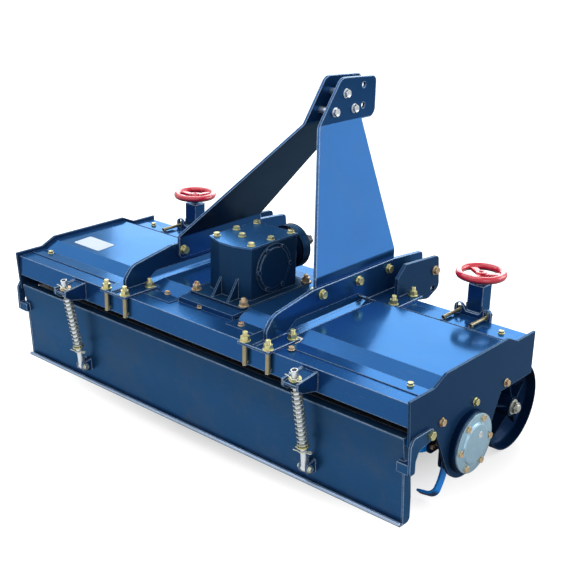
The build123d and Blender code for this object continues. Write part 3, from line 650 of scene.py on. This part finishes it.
def makeBentRod(radius, legs, span, bend, around=16):  # legs down from the origin and from (0, span, 0)
    piece = disc(radius, around)
    extrude((0, 0, -(legs - bend)))
    bpy.ops.mesh.spin(steps=6, angle=pi / 2, center=(0, bend, -(legs - bend)), axis=rightward)
    extrude((0, span - 2 * bend, 0))
    bpy.ops.mesh.spin(steps=6, angle=pi / 2, center=(0, span - bend, -(legs - bend)), axis=rightward)
    extrude((0, 0, legs - bend))
    faceOut(merge=True)
    return closeMesh(piece)


def clampPieces(node, side, fit):
    low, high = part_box(node)
    inner, outer = low.x + fit["edge"], high.x - fit["edge"]
    if side == "left":
        inner, outer = outer, inner
    legY = (low.y + fit["edge"], high.y - fit["edge"])
    foot = deckZ + fit["foot"]
    uBolt = aside(makeBentRod(fit["rod"], foot - low.z - fit["rod"], legY[1] - legY[0], fit["bend"]))
    bars, tops, rusty = [], [], []
    for x in (inner, outer):
        bars.append((uBolt, Matrix.Translation((x, legY[0], foot))))
        for y in legY:
            rusted = node == "rear_clamp_right" and x == inner and y == legY[1]
            turn = 17 * (round(x * 1000) % 7) + 11 * (round(y * 1000) % 5)
            (rusty if rusted else tops).extend(seated("nut", "washer", (x, y, foot), turn=turn))
            tops.append((stock["stud"], Matrix.Translation((x, y, foot + fit["studLift"]))))
    shown = repeat(bars, node + "_bars", "oliveZinc")
    repeat(tops, node + "_nuts")
    if rusty:
        repeat(rusty, node + "_rusty_nut", "rustyZinc")
    return shown


for end in ("rear", "front"):
    for side in ("left", "right"):
        node = f"{end}_clamp_{side}"
        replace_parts(clampPieces(node, side, clampFit), node)
print("clamps done")


# spring rods: coil springs, their washers and spring cotters
rodFit = {"lean": 10.48, "collar": 0.0800, "shelf": 0.2929, "coil": 0.0145, "wire": 0.0020, "turns": 15,
          "stop": 0.3012, "seatDrop": 0.0042, "travel": 0.0200, "play": 0.0002, "closed": 2.2, "swell": 1.035,
          "perTurn": 12, "cotters": ((0.3095, 168), (0.0600, 189))}
cotterFit = {"wire": 0.0016, "path": ((-27, 1, 5), (-12, 0, 1), (4, 0, 0), (15, 0, 0), (23, 4, 0), (30, 1, 1),
                                      (30, -7, 2), (22, -11, 3), (15, -7, 3), (9, -11, 2), (3, -13.4, 1),
                                      (-5, -13.4, 1), (-11, -9.5, 1), (-17, -10.5, 3), (-25, -16, 8))}


def makeWire(points, radius, steps=3):  # a smooth curve near the points, given its thickness
    clearSelection()
    bpy.ops.curve.primitive_nurbs_path_add()
    wire = bpy.context.object
    wire.data.splines.clear()
    spline = wire.data.splines.new("NURBS")
    spline.points.add(len(points) - 1)
    for point, spot in zip(spline.points, points):
        point.co = (*spot, 1)
    spline.order_u, spline.use_endpoint_u, spline.resolution_u = 3, True, steps
    wire.data.bevel_depth, wire.data.bevel_resolution, wire.data.use_fill_caps = radius, 2, True
    bpy.ops.object.convert(target="MESH")
    return closeMesh(bpy.context.object, 50)


def springPath(fit):  # the end turns lie close, the turns between are evenly open
    low, high = fit["collar"] + fit["wire"] + fit["play"], fit["shelf"] - fit["wire"] - fit["play"]
    turns, closed, radius = fit["turns"], fit["closed"] * fit["wire"], fit["swell"] * fit["coil"]
    path = []
    for k in range(turns * fit["perTurn"] + 1):
        turn = k / fit["perTurn"]
        if turn < 1:
            height = low + closed * turn
        elif turn > turns - 1:
            height = high - closed * (turns - turn)
        else:
            height = low + closed + (high - low - 2 * closed) * (turn - 1) / (turns - 2)
        path.append((radius * cos(2 * pi * turn), radius * sin(2 * pi * turn), height))
    return path


stock["spring"] = aside(makeWire(springPath(rodFit), rodFit["wire"]))
stock["cotter"] = aside(makeWire([tuple(v / 1000 for v in spot) for spot in cotterFit["path"]],
                                 cotterFit["wire"], 5))
for side in ("left", "right"):
    body = f"rod_{side}"
    pivot = Matrix.Translation(jointAt[f"rod_{side}_pivot"])
    rod = pivot @ Matrix.Rotation(radians(rodFit["lean"]), 4, "X")
    spring = repeat([(stock["spring"], rod)], f"coil_spring_{side}", "springSteel", body)
    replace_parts(spring, f"spring_{side}")
    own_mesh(spring)
    lowSeat = Matrix.Translation((0, 0, rodFit["collar"] - rodFit["seatDrop"]))
    repeat([(stock["lowWasher"], rod @ lowSeat)], f"spring_seat_{side}", "yellowZinc", body)
    repeat([(stock["topWasher"], rod @ Matrix.Translation((0, 0, rodFit["stop"])))], f"rod_stop_{side}",
           "rustyZinc" if side == "left" else "yellowZinc", body)
    repeat([(stock["cotter"], rod @ facing((0, 0, rise), turn=turn)) for rise, turn in rodFit["cotters"]],
           f"rod_cotters_{side}", "paleZinc", body)
print("spring rods done")


# slim U-bolts that hold the depth brackets: they lie round the front beam, with their nuts ahead
slimFit = {"rod": 0.0060, "thread": 0.0115, "tail": 0.0250, "bend": 0.0095, "sunk": 0.0005, "turn": 19}


def slimClamp(side, fit):
    low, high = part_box(f"depth_clamp_{side}")
    face = high.y - fit["tail"]  # front of the bracket's plate
    end = high.y - fit["thread"]
    back, top, foot = low.y + clampFit["rod"], high.z - clampFit["edge"], low.z + clampFit["edge"]
    uBolt = aside(makeBentRod(fit["rod"], end - back, top - foot, fit["bend"]))
    bars, nuts = [], []
    for x in (low.x + clampFit["edge"], high.x - clampFit["edge"]):
        bars.append((uBolt, Matrix.Translation((x, end, top)) @ Matrix.Rotation(-pi / 2, 4, "X")))
        for z in (top, foot):
            nuts += seated("boltM12", "washerM12", (x, face, z), forward, fit["turn"])
            bars.append((stock["slimStud"], facing((x, end - fit["sunk"], z), forward)))
    repeat(nuts, f"depth_clamp_nuts_{side}")
    return repeat(bars, f"depth_clamp_bars_{side}", "oliveZinc")


for side in ("left", "right"):
    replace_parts(slimClamp(side, slimFit), f"depth_clamp_{side}")
print("depth clamps done")


# gearbox hardware: bolts of the cover, of the base flange and of the two side caps
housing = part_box("gearbox_housing")
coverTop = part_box("gearbox_cover")[1].z
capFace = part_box("gearbox_cap_right")
gearboxFit = {"coverX": 0.075, "coverY": (0.219, 0.310, 0.407), "breather": (-0.012, 0.270),
              "baseX": 0.104, "baseY": (0.156, 0.455), "baseRise": 0.026, "studLift": 0.0125,
              "capBolts": 6, "capCircle": 0.905, "capSunk": 0.004}

coverSpots = [(gearboxFit["coverX"], rearY + y, coverTop) for y in gearboxFit["coverY"]]
breatherX, breatherY = gearboxFit["breather"]
repeat(bothSides(boltRow("boltM12", "washerM12", coverSpots, turn=20, step=31))
       + seated("boltM12", "washerM12", (breatherX, rearY + breatherY, coverTop), turn=12), "gearbox_cover_bolts")

baseSpots = [at(gearboxFit["baseX"], y, gearboxFit["baseRise"]) for y in gearboxFit["baseY"]]
studLift = Vector((0, 0, gearboxFit["studLift"]))
repeat(bothSides(boltRow("nut", "washer", baseSpots, turn=14, step=22)
                 + [(stock["stud"], Matrix.Translation(spot + studLift)) for spot in baseSpots]),
       "gearbox_base_bolts", "rustyZinc")
capMiddle = (capFace[0] + capFace[1]) / 2
capMiddle.x = capFace[1].x - gearboxFit["capSunk"]
reach = (capFace[1].y - capFace[0].y) / 2 * gearboxFit["capCircle"]
capSpots = [onCircle(capMiddle, reach, 2 * pi * k / gearboxFit["capBolts"]) for k in range(gearboxFit["capBolts"])]
repeat(bothSides(boltRow("boltM10", None, capSpots, rightward, step=15)), "gearbox_cap_bolts", "castPaint")
print("gearbox hardware done")


# bolts of the end plates, the gate's hinge, the mast, the ears, the hood and the rear beam
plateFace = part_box("end_plate_right")[1].x
hingeAt = jointAt["tailgate_hinge"]
plateFit = {"rise": -0.104, "bolts": ((0.148, "rustyZinc"), (0.318, "yellowZinc"), (0.488, "rustyZinc")),
            "armInset": 0.0095}
mastFit = {"outer": 0.3150, "inner": 0.2930, "foot": ((0.621, 0.084), (0.461, 0.084), (0.278, 0.088)),
           "tab": 0.0370, "tabSpots": ((0.717, 0.608), (0.661, 0.552), (0.764, 0.552))}
earFit = {"outer": 0.3810, "inner": 0.3690, "spot": (0.799, 0.049)}
sheetFit = {"rise": 0.003, "hood": ((0.780, 0.090), (0.772, 0.575)),
            "beam": ((-0.186, 0.104), (-0.024, 0.092), (0.168, 0.077), (0.396, 0.046))}

for k, (y, finish) in enumerate(plateFit["bolts"]):
    spot = (plateFace, rearY + y, deckZ + plateFit["rise"])
    repeat(bothSides(seated("boltM12", "washerM12", spot, rightward, 9 + 25 * k)), f"end_plate_bolts_{k}", finish)
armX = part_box("tailgate")[1].x - plateFit["armInset"]
repeat(bothSides(seated("boltM16", None, (armX, hingeAt.y, hingeAt.z), rightward, 18)),
       "tailgate_hinge_bolts", "yellowZinc", "tailgate")
footBolts = boltRow("boltM16", "washerM16", spotsAt(mastFit["outer"], mastFit["foot"]), rightward, 13, 20)
footNuts = boltRow("nut", "washer", spotsAt(mastFit["inner"], mastFit["foot"]), leftward, 5, 17)
repeat(bothSides(footBolts + footNuts), "mast_foot_bolts")
tabBolts = boltRow("boltM16", "washerM16", spotsAt(mastFit["tab"], mastFit["tabSpots"]), rightward, 7, 26)
repeat(bothSides(tabBolts), "mast_tab_bolts", "silverZinc")
repeat(bothSides(seated("boltM16", "washerM16", at(earFit["outer"], *earFit["spot"]), rightward, 21)
                 + seated("nut", "washer", at(earFit["inner"], *earFit["spot"]), leftward, 4)),
       "ear_bolts", "rustyZinc")
hoodSpots, beamSpots = [[at(*spot, sheetFit["rise"]) for spot in sheetFit[sheet]] for sheet in ("hood", "beam")]
repeat(bothSides(boltRow("boltM10", "washerM10", hoodSpots, turn=11, step=29)), "hood_bolts")
repeat(boltRow("boltM10", "washerM10", beamSpots, step=23), "beam_bolts", "rustyZinc")
print("plate, mast and hood bolts done")


# bearing caps with their bolts and plugs
capFit = {"flange": 0.090, "flangeHeight": 0.008, "step": 0.062, "rim": (0.0012, 0.0006),
          "fillet": (0.002, 0.0012), "domeSteps": ((0.0015, 0.0035), (0.0022, 0.0013), (0.003, 0.0004)),
          "dimple": (0.012, -0.0008), "boltCircle": 0.077, "boltAngles": (64, 126, 182, 241, 300, 358),
          "boltSunk": 0.0012, "plugSpot": (0.0134, 0.018, 0.022), "plugSunk": 0.0038}


def makeBearingCap(fit):
    piece = drum(fit["flange"], fit["flangeHeight"], 64)
    chooseTop(piece)
    insetStep(*fit["rim"])
    insetStep(fit["flange"] - fit["rim"][0] - fit["step"] - fit["fillet"][0])
    for narrow, rise in (fit["fillet"], *fit["domeSteps"], fit["dimple"]):
        insetStep(narrow, rise)
    return closeMesh(piece, 28)


stock["bearingCap"] = aside(makeBearingCap(capFit))
rotorAt = jointAt["rotor_spin"]
capSeat = Vector((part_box("bearing_cap_right")[0].x, rotorAt.y, rotorAt.z))
for side, flip in sides:
    cap = repeat([(stock["bearingCap"], flip @ facing(capSeat, rightward))], f"bearing_cover_{side}",
                 "capMetal")
    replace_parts(cap, f"bearing_cap_{side}")
capRing = []
for angle in capFit["boltAngles"]:
    spot = onCircle(capSeat, capFit["boltCircle"], radians(angle), capFit["flangeHeight"] - capFit["boltSunk"])
    capRing += seated("boltM12", None, spot, rightward, angle)
repeat(bothSides(capRing), "bearing_cap_bolts", "rustyZinc")
plugSpot = capSeat + Vector(capFit["plugSpot"])
repeat(bothSides([(stock["washerM10"], facing(plugSpot, rightward)),
                  (stock["boltM8"], facing(plugSpot - Vector((capFit["plugSunk"], 0, 0)), rightward, 12))]),
       "bearing_cap_plugs", "silverZinc")
print("bearing caps done")


# gauge wheels: nuts on the axles, hubs and ribs; pins of the clevises
wheelFit = {"hub": 0.0335, "hubDeep": 0.052, "bore": 0.0128, "hubRim": 0.004, "hubSunk": 0.0015, "ribs": 5,
            "ribFrom": 0.026, "ribTo": 0.1165, "ribThick": 0.004, "ribBack": 0.056, "ribFront": (0.006, 0.034),
            "ribEnd": 0.008, "ribTurn": 20, "hubRound": 0.0015, "ribRound": 0.0008}
axleStack = (("axleWasher", 0.0002, 0), ("axleNut", 0.0039, 10), ("axleEnd", 0.0120, 0))
clevisStack = (("clevisWasher", 0.0153, 0), ("boltM10", 0.0172, 14))
axleAt = jointAt["wheel_right_spin"]
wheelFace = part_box("gauge_wheel_right")[1].x


def onAxle(lift, turn=0):  # place on the right wheel's axle, lifted off the wheel's face
    return facing((wheelFace + lift, axleAt.y, axleAt.z), rightward, turn)


def makeHub(fit):  # turned hub with a step and a rounded face
    piece = makeRing(fit["hub"], fit["bore"], fit["hubDeep"], 44)
    chooseTop(piece)
    insetStep(fit["hubRim"], -fit["hubSunk"])
    bevelRims(piece, fit["hub"], 6e-4, fit["hubRound"], 2)
    return closeMesh(piece, 40)


def makeRib(fit):  # gusset from hub to rim, lower at the rim; the wheel's axis is Z
    nearFront, farFront = fit["ribFront"]
    corners = ((fit["ribFrom"], fit["ribBack"]), (fit["ribTo"], farFront),
               (fit["ribFrom"], nearFront), (fit["ribTo"], farFront - fit["ribEnd"]))
    piece = fourCornered([(reach, -fit["ribThick"] / 2, -depth) for reach, depth in corners])
    extrude((0, fit["ribThick"], 0))
    faceOut()
    bpy.ops.mesh.bevel(offset=fit["ribRound"], segments=1, affect="EDGES")
    return closeMesh(piece)


for side, flip in sides:
    repeat([(stock[part], flip @ onAxle(lift, turn)) for part, lift, turn in axleStack],
           f"axle_nut_{side}", "springSteel", f"leg_{side}")
stock["hub"], stock["rib"] = aside(makeHub(wheelFit)), aside(makeRib(wheelFit))
for side, flip in sides:
    hubParts = [(stock["hub"], flip @ onAxle(-wheelFit["hubDeep"]))]
    hubParts += [(stock["rib"], flip @ onAxle(0, wheelFit["ribTurn"] + 360 * k / wheelFit["ribs"]))
                 for k in range(wheelFit["ribs"])]
    repeat(hubParts, f"wheel_hub_{side}", "wheelPaint", f"wheel_{side}")
clevisAt = jointAt["rod_right_pivot"]
clevisBits = [(stock[part], facing(clevisAt + Vector((way * lift, 0, 0)), (way, 0, 0), turn))
              for way in (-1, 1) for part, lift, turn in clevisStack]
repeat(bothSides(clevisBits), "clevis_pin_ends", "paleZinc", "tailgate")
print("axle and clevis hardware done")


# blank plate on the hood, where such a machine has its sign
signFit = {"corners": ((-0.767, 0.183), (-0.627, 0.181), (-0.777, 0.269), (-0.637, 0.266)), "rise": 0.0252,
           "thick": 0.0008, "round": 0.008}
signColours = {"clean": (0.52, 0.62, 0.72), "cloudy": (0.62, 0.71, 0.80), "stained": (0.42, 0.5, 0.58)}


def makeSign(fit):
    piece = fourCornered([at(x, y, fit["rise"]) for x, y in fit["corners"]], "VERT")
    bpy.ops.mesh.bevel(offset=fit["round"], affect="VERTICES", segments=4)
    bpy.ops.mesh.select_all(action="SELECT")
    extrude((0, 0, fit["thick"]))
    faceOut()
    return closeMesh(piece)


def signFinish(look):  # pale vinyl, clouded and a little stained
    sign = Finish("signVinyl")
    cloud = sign.noise(30, 4)
    stain = sign.ramp(sign.noise(12, 5, 0.7), (0.5, 0), (0.75, 1))
    colour = sign.mix(stain * 0.35, sign.mix(cloud, look["clean"], look["cloudy"]), look["stained"])
    return sign.close({"Base Color": colour, "Roughness": 0.5 + 0.2 * cloud, "Specular IOR Level": 0.2,
                       "Normal": sign.bump(cloud, 0.1, 0.0006)})


finishes["signVinyl"] = signFinish(signColours)
settle(makeSign(signFit), "blank_sign", "signVinyl", "frame")
print("sign done")


# spacers between the mast tabs
spacerFit = {"radius": 0.0115, "half": 0.027, "insets": (0.0025, 0.0015), "chamfer": 0.001}


def makeSpacer(fit):  # turned tube with a chamfer at each end
    piece = drum(fit["radius"], 2 * fit["half"], 28)
    chooseEnds(piece)
    for narrow in fit["insets"]:
        insetStep(narrow)
    bevelRims(piece, fit["radius"], 1e-5, fit["chamfer"], 2)
    return closeMesh(piece)


stock["spacer"] = aside(makeSpacer(spacerFit))
tubes = [(stock["spacer"], facing(spot, rightward)) for spot in spotsAt(-spacerFit["half"], mastFit["tabSpots"])]
spacers = repeat(tubes, "mast_spacer_tubes", "silverZinc")
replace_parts(spacers, "mast_spacers")
print("mast spacers done")


# handwheels: round rim, three flat spokes and a bored hub
handwheelFit = {"rim": 0.0682, "tube": 0.0118, "flatUnder": 0.86, "spokes": 3, "spokeWide": 0.0140,
                "spokeThick": 0.0056, "spokeFrom": 0.6, "spokeTaper": 0.72, "spokeRise": -0.001, "spokeDrop": 0.004,
                "spokeRound": 0.0036, "hub": 0.0185, "hubTaper": 0.9, "hubHigh": 0.021, "hubRim": (0.0012, 0.0008),
                "hubDrop": 0.0165, "bore": 0.0075, "boreDeep": 0.012, "turn": 27, "below": 0.0060,
                "turned": {"right": 0, "left": 40}}


def makeSpoke(fit, turn):
    clearSelection()
    bpy.ops.mesh.primitive_cube_add(size=1)
    spoke = bpy.context.object
    start = fit["hub"] * fit["spokeFrom"]
    spoke.scale = (fit["rim"] - start, 2 * fit["spokeWide"], 2 * fit["spokeThick"])
    spoke.location = ((fit["rim"] + start) / 2, 0, fit["spokeRise"])
    applyPlace()
    choose(spoke, "faces", lambda face: face.normal.x < -0.9)
    bpy.ops.transform.resize(value=(1, fit["spokeTaper"], 1))  # narrower toward the hub, and dropping to it
    bpy.ops.transform.translate(value=(0, 0, -fit["spokeDrop"]))
    choose(spoke, "edges", lambda e: abs(e.verts[0].co.x - e.verts[1].co.x) > 0.02)
    bpy.ops.mesh.bevel(offset=fit["spokeRound"], segments=4)
    closeMesh(spoke, 40)
    spoke.data.transform(Matrix.Rotation(radians(turn), 4, "Z"))
    return spoke


def makeHandwheelHub(fit):
    top = fit["hub"] * fit["hubTaper"]
    hub = drum(fit["hub"], fit["hubHigh"], 40, top)
    chooseTop(hub)
    insetStep(*fit["hubRim"])
    insetStep(top - fit["hubRim"][0] - fit["bore"])
    extrude((0, 0, -fit["boreDeep"]))
    closeMesh(hub, 40)
    hub.data.transform(Matrix.Translation((0, 0, -fit["hubDrop"])))
    return hub


def makeHandwheel(fit):
    clearSelection()
    bpy.ops.mesh.primitive_torus_add(major_radius=fit["rim"], minor_radius=fit["tube"], major_segments=72,
                                     minor_segments=16)
    rim = bpy.context.object
    choose(rim, "faces", lambda face: face.normal.z < -0.8)
    bpy.ops.transform.resize(value=(1, 1, fit["flatUnder"]))  # cast rims are flatter underneath
    pieces = [closeMesh(rim, 60)]
    pieces += [makeSpoke(fit, fit["turn"] + 360 / fit["spokes"] * k) for k in range(fit["spokes"])]
    pieces.append(makeHandwheelHub(fit))
    clearSelection()
    for piece in pieces:
        piece.select_set(True)
    bpy.context.view_layer.objects.active = rim
    bpy.ops.object.join()
    return rim


stock["handwheel"] = aside(makeHandwheel(handwheelFit))
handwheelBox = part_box("handwheel_right")
handwheelMiddle = (handwheelBox[0] + handwheelBox[1]) / 2
handwheelMiddle.z = handwheelBox[1].z - handwheelFit["below"]
for side, flip in sides:
    spun = Matrix.Rotation(radians(handwheelFit["turned"][side]), 4, "Z")
    wheel = repeat([(stock["handwheel"], Matrix.Translation(flip @ handwheelMiddle) @ spun)],
                   f"handwheel_rim_{side}", "handwheelRed")
    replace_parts(wheel, f"handwheel_{side}")
print("handwheels done")


# gearbox input: the bolted flange round the stub
inputFit = {"flange": 0.0735, "bore": 0.0220, "back": 0.013, "deep": 0.040, "step": (0.010, -0.003),
            "round": 0.0022, "bolts": 6, "circle": 0.0625, "sunk": 0.0005}


def makeInputFlange(fit):  # cast flange, with its outer corners well rounded
    piece = makeRing(fit["flange"], fit["bore"], fit["deep"], 64)
    chooseTop(piece)
    insetStep(*fit["step"])
    bevelRims(piece, fit["flange"], 6e-4, fit["round"], 3)
    return closeMesh(piece, 40)


stock["inputFlange"] = aside(makeInputFlange(inputFit))
stubAt = jointAt["pto_spin"]
flangeSpot = Vector((stubAt.x, housing[1].y - inputFit["back"], stubAt.z))
repeat([(stock["inputFlange"], facing(flangeSpot, forward))], "gearbox_input_flange", "castPaint", "frame")
inputSpots = []
for k in range(inputFit["bolts"]):
    angle = 2 * pi * (k + 0.5) / inputFit["bolts"]
    away = (inputFit["circle"] * cos(angle), inputFit["deep"] - inputFit["sunk"], inputFit["circle"] * sin(angle))
    inputSpots.append(flangeSpot + Vector(away))
repeat(boltRow("boltM8", None, inputSpots, forward, step=20), "input_flange_bolts", "rustyZinc")
print("input flange done")


# tines: a flat bar that curves to the rear, then folds sideways into its foot
tineFit = {"wide": 0.033, "thick": 0.008, "root": 0.060, "straight": 0.086, "curve": 0.128, "swing": 42,
           "swell": 1.06, "fold": 0.022, "foldAngle": 82, "foot": 0.034, "footSteps": ((0.7, 1.0), (0.3, 0.86)),
           "stations": 5, "round": 4, "stagger": 18, "outerRing": 0.785, "innerRing": 0.097, "cheek": 0.011,
           "bolts": (0.070, 0.098), "edge": 0.0012}


def makeTine(fit):
    piece = oblong(fit["thick"], fit["wide"], (0, 0, -fit["root"]))
    swing, fold = radians(fit["swing"]), radians(fit["foldAngle"])
    down = Vector((0, -sin(swing), -cos(swing)))
    across = Vector((0, -cos(swing), sin(swing)))
    end = Vector((0, -fit["curve"] * (1 - cos(swing)), -fit["straight"] - fit["curve"] * sin(swing)))
    way = Vector((sin(fold), 0, 0)) + cos(fold) * down
    extrude((0, 0, fit["root"] - fit["straight"]))
    bpy.ops.mesh.spin(steps=7, angle=swing, center=(0, -fit["curve"], -fit["straight"]), axis=rightward)
    bpy.ops.transform.resize(value=(1, fit["swell"], fit["swell"]), center_override=end)
    bpy.ops.mesh.spin(steps=8, angle=fold, center=tuple(end + Vector((fit["fold"], 0, 0))), axis=tuple(-across))
    for reach, narrow in fit["footSteps"]:
        extrude(way * fit["foot"] * reach)
        bpy.ops.transform.resize(value=(1, narrow, narrow))
    faceOut(merge=True)
    choose(piece, "edges", lambda e: e.is_manifold and e.calc_face_angle(0) > 1.2)
    bpy.ops.mesh.bevel(offset=fit["edge"], segments=1)
    return closeMesh(piece, 35)


stock["tine"] = aside(makeTine(tineFit))
tines, grips = [], []
ringStep = (tineFit["outerRing"] - tineFit["innerRing"]) / (tineFit["stations"] - 1)
for k in range(tineFit["stations"]):
    x = tineFit["outerRing"] - ringStep * k
    for n in range(tineFit["round"]):
        leansIn = k == 0 or (n % 2 == 0 and k < tineFit["stations"] - 1)
        turned = Matrix.Rotation(-2 * pi * n / tineFit["round"] + radians(tineFit["stagger"] * k), 4, "X")
        hub = Matrix.Translation((x, rotorAt.y, rotorAt.z)) @ turned
        tines.append((stock["tine"], hub @ mirrored if leansIn else hub))
        for reach in tineFit["bolts"]:
            for way in (-1, 1):
                held = facing((way * tineFit["cheek"], 0, -reach), (way, 0, 0), 40 * n + 300 * reach)
                grips.append((stock["boltM10"], hub @ held))
for side, flip in sides:
    blades = repeat(moved(tines, flip), f"tine_blades_{side}", "tineBlue", "rotor")
    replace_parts(blades, f"tines_{side}")
    repeat(moved(grips, flip), f"tine_bolts_{side}", "rustyZinc", "rotor")
print("tines done")


# rolled hem along the tailgate's lower edge
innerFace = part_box("end_plate_right")[0].x
hemFit = {"half": innerFace - 0.013, "y": 0.0105, "radius": 0.0060, "lap": 0.0005, "tip": 0.3,
          "dome": ((0.0010, 0.55), (0.0014, 0.80), (0.0020, 1.0))}


def makeHem(fit):  # round bar with domed ends, on its side
    piece = disc(fit["radius"] * fit["tip"], 14)
    runs, shares = zip(*fit["dome"])
    straight = 2 * (fit["half"] - sum(runs))
    wide = fit["tip"]
    for run, share in (*fit["dome"], (straight, shares[-1]), *zip(runs[::-1], (*shares[-2::-1], fit["tip"]))):
        extrudeRing(run, share / wide)
        wide = share
    faceOut()
    return closeMesh(piece, 50)


stock["hem"] = aside(makeHem(hemFit))
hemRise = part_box("tailgate")[0].z + hemFit["radius"] - hemFit["lap"]
repeat([(stock["hem"], facing((-hemFit["half"], rearY + hemFit["y"], hemRise), rightward))],
       "tailgate_hem", "hemPaint", "tailgate")
print("tailgate hem done")


# dark sheet that closes the slot under the rear beam: painted shade, so the gap shows dark instead of the white
# floor
gapSheetFit = {"half": innerFace - 0.006, "y": 0.071, "thick": 0.004, "top": -0.0695, "drop": 0.052, "lip": 0.014,
            "lipAngle": 50, "tail": 0.010}


def makeGapShadeSheet(fit):
    start, lean = at(0, fit["y"], fit["top"]), radians(fit["lipAngle"])
    piece = oblong(2 * fit["half"], fit["thick"], start)
    extrude((0, 0, -fit["drop"]))
    bpy.ops.mesh.spin(steps=5, angle=lean, center=tuple(start + Vector((0, fit["lip"], -fit["drop"]))),
                      axis=leftward)
    extrude((0, sin(lean) * fit["tail"], -cos(lean) * fit["tail"]))
    faceOut(merge=True)
    return closeMesh(piece)


settle(makeGapShadeSheet(gapSheetFit), "soil_guard", "blackPaint", "frame")
print("soil guard done")


# weld beads: short runs, ripple after ripple
beadFit = {"radius": 0.0030, "ripples": 8, "pitch": 0.0034, "start": 0.6}


def makeBead(fit):
    piece = disc(fit["radius"] * fit["start"], 9)
    last = fit["ripples"] - 1
    for k in range(fit["ripples"]):
        for run, grow in ((0.25, 1.6 if k == 0 else 1.22), (0.40, 1.0), (0.35, 0.55 if k == last else 0.82)):
            extrudeRing(run * fit["pitch"], grow)
    faceOut()
    return closeMesh(piece, 50)


stock["bead"] = aside(makeBead(beadFit))


def weldRun(start, end):
    start, end = Vector(start), Vector(end)
    run, single = (end - start).length, beadFit["ripples"] * beadFit["pitch"]
    count = max(1, round(run / single))
    stretch = Matrix.Scale(run / (count * single), 4, (0, 0, 1))
    return [(stock["bead"], facing(start.lerp(end, k / count), end - start, 67 * k) @ stretch) for k in range(count)]


bracketBox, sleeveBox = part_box("spring_bracket_right"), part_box("depth_bracket_right")
weldFit = {"bracketOut": 0.0008, "bracketY": -0.001, "bracketRise": (-0.010, -0.062),
           "sleeveHalf": 0.0275, "sleeveAhead": 0.0105, "sleeveRise": (-0.105, 0.040),
           "railX": (0.3158, 0.3022), "railY": ((-0.018, 0.100), (0.535, 0.640)),
           "earX": 0.3818, "earY": (0.595, 0.640), "footRise": 0.0085}
welds = []
for x in (bracketBox[0].x - weldFit["bracketOut"], bracketBox[1].x + weldFit["bracketOut"]):
    welds += weldRun(*[at(x, weldFit["bracketY"], rise) for rise in weldFit["bracketRise"]])
sleeveX = (sleeveBox[0].x + sleeveBox[1].x) / 2
sleeveY = sleeveBox[0].y + weldFit["sleeveAhead"]
for x in (sleeveX - weldFit["sleeveHalf"], sleeveX + weldFit["sleeveHalf"]):
    welds += weldRun(*[(x, sleeveY, deckZ + rise) for rise in weldFit["sleeveRise"]])
for ends in weldFit["railY"]:
    for x in weldFit["railX"]:
        welds += weldRun(*[at(x, y, weldFit["footRise"]) for y in ends])
welds += weldRun(*[at(weldFit["earX"], y, weldFit["footRise"]) for y in weldFit["earY"]])
repeat(bothSides(welds), "weld_beads", "castPaint")
print("welds done")
